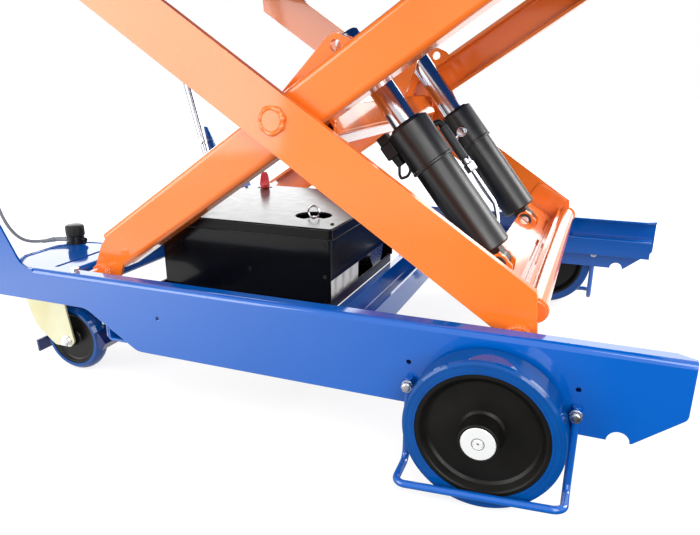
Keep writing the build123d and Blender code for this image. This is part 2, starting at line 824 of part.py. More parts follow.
def power_tray():
    """Black tray that carries battery and pump on the cross beams."""
    x_from = back(box_left_back + 12)
    x_to = back(box_right_back + 7)
    tray = block(x_from, x_to, box_front - 8, box_back + 8, 150, 168)
    return tray - block(x_from + 3, x_to - 3, box_front - 5, box_back + 5, 153, 175)


def power_cover():
    """Sheet cover round the power unit; the front wall stops short above the battery."""
    x_from = back(box_left_back)
    x_to = back(box_right_back)
    shell = block(x_from, x_to, box_front, box_back, 153.2, box_top - 3)
    shell = fillet(shell.edges().filter_by(Axis.Z), 4)
    shell -= block(x_from + 2, x_to - 2, box_front + 2, box_back - 2, 140, 300)
    shell -= block(x_to - 6, x_to + 5, box_front + 3, box_back - 3, 140, 206)
    return shell - block(back(512), x_to + 5, box_front - 5, box_back + 5, 140, 168.3)


def power_lid():
    """Lid with a turned-down rim, a large round opening and the isolator hole."""
    x_from = back(box_left_back) - 3
    x_to = back(box_right_back) + 3
    lid = block(x_from, x_to, box_front - 3, box_back + 3, box_top - 18, box_top)
    lid = fillet(lid.edges().filter_by(Axis.Z), 6)
    lid = chamfer(lid.faces().sort_by(Axis.Z)[-1].edges(), 2)
    lid -= block(x_from + 2.8, x_to - 2.8, box_front - 0.2, box_back + 0.2, box_top - 20, box_top - 3)
    lid -= Pos(back(565), -162, box_top) * Cylinder(31, 30)
    return lid - Pos(back(775), 55, box_top) * Cylinder(15, 30)


def battery():
    """Moulded battery block with ribs, lid and two posts."""
    x_from = back(690)
    x_to = back(520)
    body = block(x_from, x_to, box_front + 16, -62, 153, 248)
    body = fillet(body.edges().filter_by(Axis.Z), 5)
    top = block(x_from - 3, x_to + 3, box_front + 13, -59, 240, 256)
    body += fillet(top.edges().filter_by(Axis.Z), 5)
    for y in (-210, -175, -140, -105):
        body += Pos(x_to, y, 196) * Cylinder(5, 86)
    for x in (x_from + 30, x_to - 30):
        body += Pos(x, -85, 262) * Cylinder(8, 14)
    return body


def pump_unit():
    """Hydraulic power pack: oil tank, motor and valve block."""
    tank = block(back(800), back(620), -40, 70, 153, 228)
    tank = fillet(tank.edges().filter_by(Axis.Z), 10)
    motor = Pos(back(562), 10, 200) * Rot(0, 90, 0) * Cylinder(38, 104)
    flange = Pos(back(617), 10, 200) * Rot(0, 90, 0) * Cylinder(45, 14)
    riser = block(back(625), back(600), -40, 20, 153, 180)
    return tank + motor + flange + riser


def isolator_switch():
    """Round battery isolator body under its hole in the lid."""
    x = back(775)
    body = Pos(x, 55, 258) * Cylinder(22, 60) + Pos(x, 55, 287) * Cylinder(12, 8)
    return body - Pos(x, 55, 285) * Cylinder(5.05, 30)


def isolator_key():
    """Red removable key: round shank and flat grip."""
    x = back(775)
    key = Pos(x, 55, 284) * Cylinder(5, 24)
    key += Pos(x, 55, 294.3) * Cylinder(9, 6)
    grip = [(-11, 295), (11, 295), (8, 316), (4, 324), (-4, 324), (-8, 316)]
    return key + plate(side_plane(55 + 2.5), Pos(x, 0) * rounded(grip, [2, 2, 6, 3, 3, 6]), 5)


def filler_cap():
    """Plated filler and lowering knob under the round opening of the lid."""
    x = back(565)
    neck = Pos(x, -162, 265) * Cylinder(14, 18)
    knob = Pos(x, -162, 279) * Cylinder(18, 10)
    knob = chamfer(knob.edges(), 1.5)
    ear = Pos(x, -162, 286.5) * Box(4, 6, 6)
    cap = neck + knob + ear
    return cap - Pos(x, -162, 287) * Rot(0, 90, 0) * Cylinder(1.9, 20)


def pull_ring():
    """Split ring through the ear of the filler knob."""
    ring_radius = 10.0
    centre = (back(565), -162, 287 + ring_radius)
    plane = Plane(origin=centre, x_dir=(1, 0, 0), z_dir=(0, 0, 1))
    wire = plane * Pos(ring_radius, 0) * RegularPolygon(1.6, 8)
    return revolve(wire, axis=Axis(centre, (0, 1, 0)))


def deck_connector():
    """Plug socket on the right caster deck with its cable gland and side screw."""
    x = back(1040)
    y = -215.0
    low = (Align.CENTER, Align.CENTER, Align.MIN)
    plug = Pos(x, y, deck_top) * Cylinder(20, 12, align=low)
    cap = Pos(x, y, deck_top + 10) * Cylinder(22, 26, align=low)
    plug += chamfer(cap.edges().group_by(Axis.Z)[-1], 3)
    gland = Pos(x - 22, y - 10, deck_top + 8) * Rot(0, 90, 24) * Cylinder(6, 24)
    screw = Pos(x + 26, y, deck_top + 14) * Rot(0, 90, 0) * Cylinder(4, 14)
    return plug + gland + screw


def cable_route():
    """Points of the control cable from the deck plug to the hand control."""
    points = [
        (-1074.6, -230.9, 218.2),
        (-1091, -256, 216.5),
        (-1105, -284, 226),
        (-1114, -302, 258),
        (-1120, -310, 302),
        (-1130, -322, 355),
        (-1143, -337, 408),
        (-1157, -346, 463),
        (-1171, -348.5, 520),
        (-1185.5, -346, 578),
        (-1198, -339, 628),
        (-1210, -331, 676),
        (-1221, -324, 722),
        (-1231.5, -321, 762),
    ]
    return [(front_x + x, y, z) for x, y, z in points]


def cable_clips():
    """Two clips that hold the cable to the right upright: a band round each, joined by a web."""
    clips = []
    for z, y in ((463.0, -346.0), (578.0, -346.0)):
        x = back(handle_back) - (z - handle_z) * run
        place = Pos(x, -handle_y, z) * Rot(0, handle_lean - 90, 0)
        reach = y + handle_y
        clip = Cylinder(handle_radius + 2, 12) + Pos(0, reach, 0) * Cylinder(cable_radius + 3.4, 12)
        clip += Pos(0, reach / 2, 0) * Box(4, reach, 12)
        clip -= Cylinder(handle_radius + 0.02, 30) + Pos(0, reach, 0) * Cylinder(cable_radius + 2, 30)
        clips.append(place * clip)
    return Compound(children=[s for clip in clips for s in solids_of(clip)])


def bend_radii(points):
    """Largest even bend at each inner point: 0.45 of the shorter run over the half-turn tangent."""
    radii = []
    for first, second, third in zip(points, points[1:], points[2:]):
        run_in = Vector(second) - Vector(first)
        run_out = Vector(third) - Vector(second)
        turn = math.radians(run_in.get_angle(run_out))
        radii.append(0.45 * min(run_in.length, run_out.length) / math.tan(turn / 2))
    return radii


def control_cable():
    """Grey cable as straight runs joined by tangent arcs."""
    points = cable_route()
    radii = bend_radii(points)
    print("cable bend radii", [round(r) for r in radii])
    path = FilletPolyline(*points, radius=radii)
    print("cable length", round(path.length))
    return sweep(Plane(origin=path @ 0, z_dir=path % 0) * Circle(cable_radius), path=path)


def button_place(offset):
    """Place of a push-button on the rear face of the hand control, pointing into the case."""
    x = back(handle_back) - (control_z - handle_z) * run
    face = Pos(x, -handle_y + 44, control_z) * Rot(0, handle_lean - 90, 0) * Pos(-26.2, 0, offset)
    return face * Rot(0, 90, 0)


def button(offset):
    """Push-button in its recess of the hand control."""
    return button_place(offset) * Cylinder(button_radius, 8)


def main():
    """Build every piece and write it."""
    os.makedirs("parts", exist_ok=True)
    rail = side_rail()
    centre = wheel_centre()
    tyre = wheel_tyre()
    fork = caster_fork()
    core = caster_core()
    roll = caster_tyre()
    pedal = brake_pedal()
    outer = outer_arm()
    inner = inner_arm()
    barrel = cylinder_barrel()
    rod = cylinder_rod()
    mirrored = {
        "side_rail": rail,
        "wheel_centre": centre,
        "wheel_tyre": tyre,
        "caster_fork": fork,
        "caster_core": core,
        "caster_tyre": roll,
        "outer_arm": outer,
        "inner_arm": inner,
        "cylinder_barrel": barrel,
        "cylinder_rod": rod,
        "brake_pedal": pedal,
    }
    for name, shape in mirrored.items():
        save(f"{name}_right", shape)
        save(f"{name}_left", other_side(shape))
    save("roller_tracks", roller_tracks())
    save("rear_beam", hollow_beam(back(955), back(915), 166, deck_top, 4) - rail - other_side(rail))
    save("tray_beam", hollow_beam(back(830), back(790), 110, 150, 4))
    save("centre_beam", centre_beam())
    save("caster_decks", pair(caster_deck() - rail))
    save("caster_heads", pair(caster_head()))
    save("front_axle", front_axle())
    save("axle_caps", axle_caps())
    save("foot_guards", foot_guards())
    save("frame_bolts", frame_bolts())
    save("push_handle", push_handle())
    save("control_box", control_box())
    save("button_up", button(button_offsets[0]))
    save("button_down", button(button_offsets[1]))
    save("centre_pins", centre_pins())
    save("torsion_beam", torsion_beam())
    save("cross_plate", cross_plate())
    save("front_tube", front_tube())
    save("cylinder_pins", cylinder_pins())
    near_rear = (cylinder_frame()[1].cross(Vector(0, 1, 0)) * 1.7 - Vector(0, 1, 0)).normalized()
    save("hose_line", line_pipe(-cylinder_y, Vector(0, 1, 0), 5) + burst_valve())
    save("steel_line", line_pipe(cylinder_y, near_rear, 4))
    save("lower_rollers", roller(front_pin_x, pivot_z, -web_inner + 2))
    save("upper_rollers", roller(front_pin_x, upper_z, -inner_face - 30))
    save("platform_top", platform_top())
    save("platform_tracks", platform_tracks())
    save("platform_hinges", platform_hinges())
    save("cable_clips", cable_clips())
    save("power_tray", power_tray())
    save("power_cover", power_cover())
    save("power_lid", power_lid())
    save("battery", battery())
    save("pump_unit", pump_unit())
    save("isolator_switch", isolator_switch())
    save("isolator_key", isolator_key())
    save("filler_cap", filler_cap())
    save("pull_ring", pull_ring())
    save("deck_connector", deck_connector())
    save("control_cable", control_cable())


main()
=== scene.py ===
# %% [markdown]
# # A mobile lift table, from solids to a finished picture
# The solids of the table come in as a fixed frame: every rail, arm, wheel and cylinder is already
# at its real size and place, in metres, with X to the front wheels, Y to the left and Z up.
# This lesson gives each of them a finish, adds the small worked details that a solid model leaves
# out, such as weld beads, screws and hose fittings, and then lights and photographs the table.

# %% Load the frame
import json
import math

import bmesh
import bpy
import numpy as np
from mathutils import Matrix, Vector


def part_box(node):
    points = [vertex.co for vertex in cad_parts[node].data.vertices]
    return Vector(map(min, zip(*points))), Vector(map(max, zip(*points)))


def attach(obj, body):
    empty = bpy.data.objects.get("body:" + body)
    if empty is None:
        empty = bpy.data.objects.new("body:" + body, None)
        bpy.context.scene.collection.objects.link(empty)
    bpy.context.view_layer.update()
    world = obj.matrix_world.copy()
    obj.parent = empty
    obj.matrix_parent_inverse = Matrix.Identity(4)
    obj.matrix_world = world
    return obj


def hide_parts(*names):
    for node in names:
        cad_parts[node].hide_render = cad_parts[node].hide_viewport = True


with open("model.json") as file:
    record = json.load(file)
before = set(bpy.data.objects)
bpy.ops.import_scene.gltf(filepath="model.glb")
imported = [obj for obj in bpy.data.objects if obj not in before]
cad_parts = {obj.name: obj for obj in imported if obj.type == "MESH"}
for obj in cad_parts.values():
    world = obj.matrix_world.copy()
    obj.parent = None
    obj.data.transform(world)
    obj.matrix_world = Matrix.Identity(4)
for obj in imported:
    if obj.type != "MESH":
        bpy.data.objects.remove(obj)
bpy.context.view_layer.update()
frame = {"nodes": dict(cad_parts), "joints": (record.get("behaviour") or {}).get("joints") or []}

nodes = frame["nodes"]

# %% [markdown]
# ## The camera
# The table was photographed from the front right corner, a little above the middle of its lift,
# with a fairly wide lens. A camera is best placed before anything else, because every later choice
# is judged through it. Its three axes are written as a matrix: right, up and backwards.

# %% Place the camera
FRAME_WIDTH, FRAME_HEIGHT = 700, 535
FOCAL_PIXELS = 639.6
OPTICAL_CENTRE = (340.2, 290.9)
CAMERA_PLACE = Vector((0.5044, -1.1286, 0.5167))
CAMERA_YAW = math.radians(22.0)
CAMERA_PITCH = math.radians(18.75)


def camera_axes(yaw, pitch):
    """Forward turns left from +Y by the yaw and dips by the pitch; right stays level; up is their cross."""
    forward = Vector((-math.sin(yaw) * math.cos(pitch), math.cos(yaw) * math.cos(pitch), -math.sin(pitch)))
    right = Vector((math.cos(yaw), math.sin(yaw), 0.0))
    return right, right.cross(forward), -forward


camera_data = bpy.data.cameras.new("studio_camera")
camera_data.sensor_fit = "HORIZONTAL"
camera_data.sensor_width = 36.0
camera_data.lens = FOCAL_PIXELS / FRAME_WIDTH * camera_data.sensor_width
camera_data.shift_x = (FRAME_WIDTH / 2 - OPTICAL_CENTRE[0]) / FRAME_WIDTH
camera_data.shift_y = (OPTICAL_CENTRE[1] - FRAME_HEIGHT / 2) / FRAME_WIDTH
camera_data.clip_start = 0.05
camera = bpy.data.objects.new("studio_camera", camera_data)
axes = Matrix(camera_axes(CAMERA_YAW, CAMERA_PITCH)).transposed().to_4x4()
camera.matrix_world = Matrix.Translation(CAMERA_PLACE) @ axes
scene = bpy.context.scene
scene.collection.objects.link(camera)
scene.camera = camera
print("lens", round(camera_data.lens, 1), "mm")

# %% [markdown]
# ## A small kit for finishes
# Every finish here is one Principled shader fed by procedural textures. The textures read Object
# coordinates, which are metres in the table's own frame, so a grain of two millimetres really is
# two millimetres wide on every piece. A few short helpers keep the node wiring readable.

# %% Finish helpers
LINEAR_STEP = 0.04045
ON_EDGE, OFF_EDGE = 0.75, 0.995     # cosine of the rounded normal's lean


def colour(red, green, blue):
    """Screen values from 0 to 255 turned to the linear light that a shader works in."""
    screen = np.array([red, green, blue], float) / 255.0
    bent = ((screen + 0.055) / 1.055) ** 2.4
    linear = np.where(screen <= LINEAR_STEP, screen / 12.92, bent)
    return (*linear.tolist(), 1.0)


class Wiring:
    """A node tree with one main shader, and helpers that add and wire nodes."""

    def __init__(self, owner, shader):
        owner.use_nodes = True
        self.tree = owner.node_tree
        self.shader = self.tree.nodes[shader]
        self.place = self.node("ShaderNodeTexCoord").outputs["Object"]

    def node(self, kind, sockets=(), **settings):
        """Add a node and set its input sockets and plain properties."""
        made = self.tree.nodes.new(kind)
        for key, value in dict(sockets).items():
            made.inputs[key].default_value = value
        for key, value in settings.items():
            setattr(made, key, value)
        return made

    def wire(self, source, target):
        """Join an output to an input."""
        self.tree.links.new(source, target)

    def set(self, **values):
        """Constant values on the shader's own sockets; an underscore stands for a space."""
        for key, value in values.items():
            self.shader.inputs[key.replace("_", " ")].default_value = value

    def moved(self, scale=(1.0, 1.0, 1.0), shift=(0.0, 0.0, 0.0)):
        """Object coordinates multiplied along each axis and then shifted."""
        made = self.node("ShaderNodeMapping", {"Scale": scale, "Location": shift})
        self.wire(self.place, made.inputs["Vector"])
        return made.outputs["Vector"]

    def length(self, vector):
        """Length of a vector, in metres."""
        made = self.node("ShaderNodeVectorMath", operation="LENGTH")
        self.wire(vector, made.inputs[0])
        return made.outputs["Value"]

    def noise(self, scale, detail=3.0, roughness=0.55, vector=None):
        """Cloudy noise with so many patches to the metre."""
        made = self.node("ShaderNodeTexNoise", {"Scale": scale, "Detail": detail, "Roughness": roughness})
        self.wire(vector or self.place, made.inputs["Vector"])
        return made.outputs["Fac"]

    def between(self, value, low, high, from_low=0.3, from_high=0.7):
        """Map a texture's range to low and high."""
        ends = {"From Min": from_low, "From Max": from_high, "To Min": low, "To Max": high}
        made = self.node("ShaderNodeMapRange", ends)
        self.wire(value, made.inputs["Value"])
        return made.outputs["Result"]

    def combine(self, operation, first, second):
        """Two masks put through one step of arithmetic."""
        made = self.node("ShaderNodeMath", operation=operation)
        self.wire(first, made.inputs[0])
        self.wire(second, made.inputs[1])
        return made.outputs["Value"]

    def product(self, first, second):
        """Two masks multiplied."""
        return self.combine("MULTIPLY", first, second)

    def larger(self, first, second):
        """The larger of two masks at each spot."""
        return self.combine("MAXIMUM", first, second)

    def blend(self, factor, first, second):
        """Mix two colours, each a socket or a constant."""
        made = self.node("ShaderNodeMix", data_type="RGBA")
        self.wire(factor, made.inputs["Factor"])
        for key, tint in (("A", first), ("B", second)):
            socket = [s for s in made.inputs if s.name == key and s.type == "RGBA"][0]
            if isinstance(tint, tuple):
                socket.default_value = tint
            else:
                self.wire(tint, socket)
        return [s for s in made.outputs if s.type == "RGBA"][0]

    def eased_normal(self, radius):
        """Normal rounded over hard edges by a radius in metres."""
        return self.node("ShaderNodeBevel", {"Radius": radius}, samples=4).outputs["Normal"]

    def relief(self, height, strength, depth, radius):
        """Give the shader the relief of a height texture, with its hard edges rounded by a radius."""
        made = self.node("ShaderNodeBump", {"Strength": strength, "Distance": depth})
        self.wire(height, made.inputs["Height"])
        self.wire(self.eased_normal(radius), made.inputs["Normal"])
        self.use(made.outputs["Normal"], "Normal")

    def edge(self, radius):
        """Mask that is 1 on hard edges: how far the rounded normal leans from the flat one."""
        flat = self.node("ShaderNodeNewGeometry").outputs["Normal"]
        made = self.node("ShaderNodeVectorMath", operation="DOT_PRODUCT")
        self.wire(self.eased_normal(radius), made.inputs[0])
        self.wire(flat, made.inputs[1])
        return self.between(made.outputs["Value"], 1.0, 0.0, ON_EDGE, OFF_EDGE)

    def use(self, socket, name):
        """Feed a shader input."""
        self.wire(socket, self.shader.inputs[name])


class Finish(Wiring):
    """One material with a Principled shader."""

    def __init__(self, name):
        self.material = bpy.data.materials.new(name)
        super().__init__(self.material, "Principled BSDF")


# %% [markdown]
# ## Stoved paint, plating and mouldings
# Powder paint is sprayed dry and melted in an oven. It flows into a glossy skin with a very slight
# orange peel, and it draws thin and pale over sharp edges; the pale edges here are partly that thin,
# worn paint and partly a painted highlight. Plated metal drifts in tint where the bath was uneven.
# Moulded plastic has a fine grain from its tool. A picture could be painted for each piece, but noise
# worked out from the place on the table has no seams and no pixels, so each family is one function,
# and a piece's finish is that function with its own colours.

# %% Finish families
CLOUDS, PEELS, SCUFFS, MARKS, MOTTLES = 4.0, 260.0, 45.0, 700.0, 18.0     # patches to the metre
PEEL_DEPTH, MARK_DEPTH, GRAIN_DEPTH = 0.0004, 0.0002, 0.0003
PLATED_EDGE, MOULDED_EDGE, TYRE_EDGE, CAP_EDGE = 0.0006, 0.001, 0.0015, 0.0008


def paint(name, tint, shade, pale, rough=0.25, coat=0.6, peel=0.03, wear_and_highlight=0.5, lean=0.0014, shine=0.2,
          coat_ior=1.5):
    """Stoved paint: two close tints clouded together, faint peel, and paler edges that are partly thin, worn
    paint and partly a painted highlight.
    """
    finish = Finish(name)
    cloud = finish.noise(CLOUDS, 3.0)
    peel_noise = finish.noise(PEELS, 1.0)
    scuff = finish.noise(SCUFFS, 5.0, 0.65)
    body = finish.blend(finish.between(cloud, 0.0, 1.0), tint, shade)
    # Pale edges: partly worn, thin paint and partly a painted highlight along hard edges.
    mask = finish.product(finish.edge(lean), finish.between(scuff, 0.35 * wear_and_highlight, wear_and_highlight, 0.35, 0.65))
    finish.use(finish.blend(mask, body, pale), "Base Color")
    finish.use(finish.between(scuff, rough - 0.03, rough + 0.05), "Roughness")
    finish.relief(peel_noise, peel, PEEL_DEPTH, lean)
    finish.set(Coat_Weight=coat, Coat_Roughness=0.08, Coat_IOR=coat_ior, Specular_IOR_Level=shine)
    return finish


def plated(name, tint, shade, rough=0.25, patch=30.0, grain=(1.0, 1.0, 1.0), metallic=1.0):
    """Bright plating: metal whose tint drifts in patches, with fine marks drawn out along one axis."""
    finish = Finish(name)
    drift = finish.noise(patch, 3.0, 0.5)
    marks = finish.noise(MARKS, 2.0, 0.5, finish.moved(grain))
    finish.use(finish.blend(finish.between(drift, 0.0, 1.0), tint, shade), "Base Color")
    finish.use(finish.between(marks, rough - 0.02, rough + 0.03), "Roughness")
    finish.relief(marks, 0.003, MARK_DEPTH, PLATED_EDGE)
    finish.set(Metallic=metallic)
    return finish


def moulded(name, tint, shade, rough=0.45, grain_size=900.0, relief=0.08, coat=0.0, shine=0.25):
    """Moulded plastic or rubber: fine grain, slight clouding and a soft sheen."""
    finish = Finish(name)
    cloud = finish.noise(MOTTLES, 3.0)
    grain = finish.noise(grain_size, 2.0)
    finish.use(finish.blend(finish.between(cloud, 0.0, 1.0), tint, shade), "Base Color")
    finish.use(finish.between(cloud, rough - 0.05, rough + 0.06), "Roughness")
    finish.relief(grain, relief, GRAIN_DEPTH, MOULDED_EDGE)
    finish.set(Coat_Weight=coat, Coat_Roughness=0.06, Specular_IOR_Level=shine)
    return finish


# %% Mix the finishes
BLUES = colour(0, 90, 181), colour(0, 85, 174), colour(116, 164, 228)
BLACKS = colour(6, 6, 7), colour(9, 9, 10)
blue_paint = paint("blue_paint", *BLUES, rough=0.3, coat=0.9, shine=0.0, coat_ior=1.75)
deck_paint = paint("deck_paint", *BLUES, rough=0.5, coat=0.0, peel=0.05, wear_and_highlight=0.8, shine=0.12)
orange_paint = paint("orange_paint", colour(243, 122, 42), colour(238, 114, 32), colour(252, 196, 140),
                     rough=0.24, coat=0.9, wear_and_highlight=0.8, lean=0.0016)
# On the black box and its lid the pale edge colour is mostly a painted highlight: bright lines along the
# corners and the rim.
black_paint = paint("black_paint", *BLACKS, colour(190, 190, 194), rough=0.2, coat=0.25, peel=0.015,
                    wear_and_highlight=0.9, lean=0.0013, shine=0.1)
lid_paint = paint("lid_paint", *BLACKS, colour(170, 170, 174), rough=0.18, coat=0.0, peel=0.015,
                  wear_and_highlight=0.7, lean=0.0012, shine=0.16)
navy_paint = paint("navy_paint", colour(20, 36, 96), colour(16, 30, 84), colour(120, 140, 196),
                   rough=0.28, coat=0.4)
black_cylinder = paint("black_cylinder", colour(12, 12, 11), colour(17, 16, 15), colour(110, 108, 102),
                       rough=0.33, coat=0.0, peel=0.05, wear_and_highlight=0.25, shine=0.6)
wheel_black = moulded("wheel_black", colour(17, 16, 15), colour(22, 21, 19), 0.34, relief=0.05, shine=0.2)
black_plastic = moulded("black_plastic", colour(22, 22, 23), colour(28, 28, 29), 0.4)
battery_grey = moulded("battery_grey", colour(216, 217, 216), colour(204, 206, 206), 0.4)
black_rubber = moulded("black_rubber", colour(18, 18, 18), colour(25, 25, 24), 0.5)
cable_grey = moulded("cable_grey", colour(138, 141, 144), colour(126, 129, 132), 0.42)
sleeve_grey = moulded("sleeve_grey", colour(58, 60, 62), colour(48, 50, 52), 0.5)
sign_white = moulded("sign_white", colour(236, 236, 232), colour(228, 228, 224), 0.35)
green_plastic = moulded("green_plastic", colour(30, 130, 60), colour(24, 116, 52), 0.32, coat=0.3)
red_plastic = moulded("red_plastic", colour(206, 34, 38), colour(188, 24, 30), 0.25, coat=0.5)
zinc_plate = plated("zinc_plate", colour(206, 207, 209), colour(190, 192, 197), 0.26)
yellow_zinc = plated("yellow_zinc", colour(214, 213, 186), colour(200, 193, 150), 0.3, 12.0, metallic=0.4)
stainless = plated("stainless", colour(190, 192, 196), colour(174, 177, 182), 0.22, patch=8.0,
                   grain=(1.0, 1.0, 0.03))
chrome = plated("chrome", colour(206, 208, 214), colour(196, 199, 206), 0.14, patch=6.0)
print("mixed", len(bpy.data.materials), "finishes")

# %% [markdown]
# ## Finishes that know where they are
# Some marks belong to one spot. A solid tyre is cast against a steel ring, so its side face keeps
# fine circles round the axle, and the turned caps keep a groove and a centre dot from the lathe.
# They could be cut into the mesh, but they are only tenths of a millimetre deep, so both are drawn with
# the distance from the axle line, found by flattening the Object coordinates along Y and shifting the
# axle to the origin.

# %% Tyres and axle caps
HANDS = ("right", "left")
MOULD_PITCH, LATHE_PITCH, CUT_DEPTH = 0.0021, 0.0007, 0.0004
GROOVE_START, GROOVE_END, DOT_EDGE = (0.0066, 0.0072), (0.0078, 0.0084), (0.0012, 0.0018)
CAP_WHITE, CUT_GREY = colour(250, 251, 250), colour(120, 124, 126)
joint_place = {joint["name"]: np.array(joint["pos_m"]) for joint in frame["joints"] if "pos_m" in joint}
joint_axis = {joint["name"]: np.array(joint["axis"], float) for joint in frame["joints"]}


def from_axle(finish, joint_name):
    """Distance from a hinge line that runs along Y."""
    place = joint_place[joint_name]
    return finish.length(finish.moved((1.0, 0.0, 1.0), (-place[0], 0.0, -place[2])))


def circles(finish, distance, pitch):
    """Height of fine concentric ridges, one to each pitch of the distance."""
    made = finish.node("ShaderNodeMath", operation="PINGPONG")
    finish.wire(distance, made.inputs[0])
    made.inputs[1].default_value = pitch
    return finish.between(made.outputs["Value"], 0.0, 1.0, 0.0, pitch)


def tyre(name, joint_name):
    """Cast blue tyre: clouded tint, rings from the mould and a soft gloss."""
    finish = moulded(name, colour(0, 72, 144), colour(0, 65, 134), 0.28, 500.0, 0.03, coat=0.7, shine=0.0)
    rings = circles(finish, from_axle(finish, joint_name), MOULD_PITCH)
    finish.relief(rings, 0.02, GRAIN_DEPTH, TYRE_EDGE)
    return finish


def turned_cap(name, joint_name):
    """Plated cap: a groove and a centre dot, darker than the face."""
    finish = plated(name, CAP_WHITE, colour(244, 246, 245), 0.25, patch=40.0, metallic=0.43)
    distance = from_axle(finish, joint_name)
    groove = finish.product(finish.between(distance, 0.0, 1.0, *GROOVE_START),
                            finish.between(distance, 1.0, 0.0, *GROOVE_END))
    dot = finish.between(distance, 1.0, 0.0, *DOT_EDGE)
    lathe = circles(finish, distance, LATHE_PITCH)
    finish.use(finish.between(lathe, 0.27, 0.34, 0.0, 1.0), "Roughness")
    cut = finish.larger(groove, dot)
    finish.use(finish.blend(cut, CAP_WHITE, CUT_GREY), "Base Color")
    finish.relief(finish.between(cut, 1.0, 0.0, 0.0, 1.0), 0.6, CUT_DEPTH, CAP_EDGE)
    return finish


tyre_finish = {hand: tyre("tyre_" + hand, "wheel_" + hand + "_roll") for hand in HANDS}
caster_finish = {hand: tyre("caster_tyre_" + hand, "caster_" + hand + "_roll") for hand in HANDS}
cap_finish = turned_cap("turned_cap", "wheel_right_roll")
print("mixed", len(tyre_finish) + len(caster_finish), "tyre finishes and one cap finish")

# %% [markdown]
# ## Dress the solids
# A solid keeps its shape and only takes a finish. The table lists the pieces under each finish, since
# that is how a painter would read a job card.

# %% Give each solid its finish
job_card = {
    blue_paint: "side_rail_right side_rail_left roller_tracks rear_beam tray_beam centre_beam caster_decks "
                "foot_guards platform_tracks platform_hinges",
    deck_paint: "platform_top",
    orange_paint: "inner_arm_right inner_arm_left torsion_beam outer_arm_right outer_arm_left cross_plate "
                  "front_tube centre_pins",
    black_paint: "power_tray power_cover",
    lid_paint: "power_lid",
    black_cylinder: "cylinder_barrel_right cylinder_barrel_left",
    navy_paint: "brake_pedal_right brake_pedal_left",
    wheel_black: "wheel_centre_right wheel_centre_left caster_core_right caster_core_left",
    black_plastic: "control_box isolator_switch deck_connector cable_clips",
    battery_grey: "battery",
    black_rubber: "hose_line",
    cable_grey: "control_cable",
    green_plastic: "button_up",
    red_plastic: "button_down isolator_key",
    cap_finish: "axle_caps",
    zinc_plate: "front_axle frame_bolts pump_unit filler_cap cylinder_pins lower_rollers upper_rollers",
    yellow_zinc: "caster_heads caster_fork_right caster_fork_left",
    stainless: "push_handle",
    chrome: "pull_ring steel_line cylinder_rod_right cylinder_rod_left",
}
for hand in HANDS:
    job_card[tyre_finish[hand]] = "wheel_tyre_" + hand
    job_card[caster_finish[hand]] = "caster_tyre_" + hand
dressed = {name for names in job_card.values() for name in names.split()}
for finish, names in job_card.items():
    for name in names.split():
        nodes[name].data.materials.clear()
        nodes[name].data.materials.append(finish.material)
print("dressed", len(dressed), "of", len(nodes), "solids; left over:", sorted(set(nodes) - dressed))

# %% [markdown]
# ## Surfaces from two parameters
# Almost every small detail on a machine is either turned or drawn. A turned piece is a profile
# carried round an axis; a drawn one is a circle carried along a path. Both are grids: one parameter
# counts the rows, the other goes round. With numpy the whole grid is computed at once, and the same
# face table serves every piece. Poles and seams are closed by merging the points that fall together.

# %% Surface kit
MM = 0.001
RIGHT, LEFT = -1.0, 1.0
SIDES = (RIGHT, LEFT)
JOIN_WITHIN, COLLAPSE_WITHIN = 1e-6, 1e-7
Y_AXIS = np.array([0.0, 1.0, 0.0])
Z_AXIS = np.array([0.0, 0.0, 1.0])


def unit(vector):
    """Vector, or rows of vectors, brought to length one."""
    return vector / np.linalg.norm(vector, axis=-1, keepdims=True)


def cross_axes(axis):
    """Two unit vectors square to an axis and to each other."""
    helper = Z_AXIS if abs(axis[2]) < 0.9 else np.array([1.0, 0.0, 0.0])
    first = unit(np.cross(helper, axis))
    return first, np.cross(axis, first)


def grid_faces(rows, columns, ring_rows):
    """Four corner numbers of each cell of a grid whose columns close on themselves, and its rows if asked."""
    row = np.arange(rows if ring_rows else rows - 1)[:, None]
    column = np.arange(columns)[None, :]
    below = (row + 1) % rows
    beside = (column + 1) % columns
    here, next_row = row * columns, below * columns
    corners = [here + column, here + beside, next_row + beside, next_row + column]
    return np.stack(np.broadcast_arrays(*corners), axis=-1).reshape(-1, 4)


def turned(profile, centre, axis, outline=None, sides=48, ring=False):
    """Surface of revolution: point(i, v) = centre + height_i axis + radius_i k(v) (cos v first + sin v
    second), with profile pairs (radius, height) in millimetres and k(v) = 1 unless an outline is given."""
    radius, height = np.array(profile, float).T * MM
    turn = np.linspace(0.0, 2.0 * np.pi, sides, endpoint=False)
    stretch = np.ones(sides) if outline is None else outline(turn)
    axis = unit(np.asarray(axis, float))
    first, second = cross_axes(axis)
    spoke = (np.cos(turn)[:, None] * first + np.sin(turn)[:, None] * second) * stretch[:, None]
    points = centre + height[:, None, None] * axis + radius[:, None, None] * spoke
    return points.reshape(-1, 3), grid_faces(len(profile), sides, ring)


def drawn(path, radius, up, sides=12, ring=False):
    """Round bar along a path: point(i, v) = path_i + radius_i (cos v across_i + sin v lift_i), where across
    is square to the path and to the up vector, and lift is square to both."""
    ahead = np.roll(path, -1, 0) - np.roll(path, 1, 0) if ring else np.gradient(path, axis=0)
    ahead = unit(ahead)
    across = unit(np.cross(ahead, up))
    lift = np.cross(across, ahead)
    turn = np.linspace(0.0, 2.0 * np.pi, sides, endpoint=False)[None, :, None]
    thick = np.broadcast_to(radius, len(path))[:, None, None]
    points = path[:, None, :] + thick * (np.cos(turn) * across[:, None, :] + np.sin(turn) * lift[:, None, :])
    return points.reshape(-1, 3), grid_faces(len(path), sides, ring)


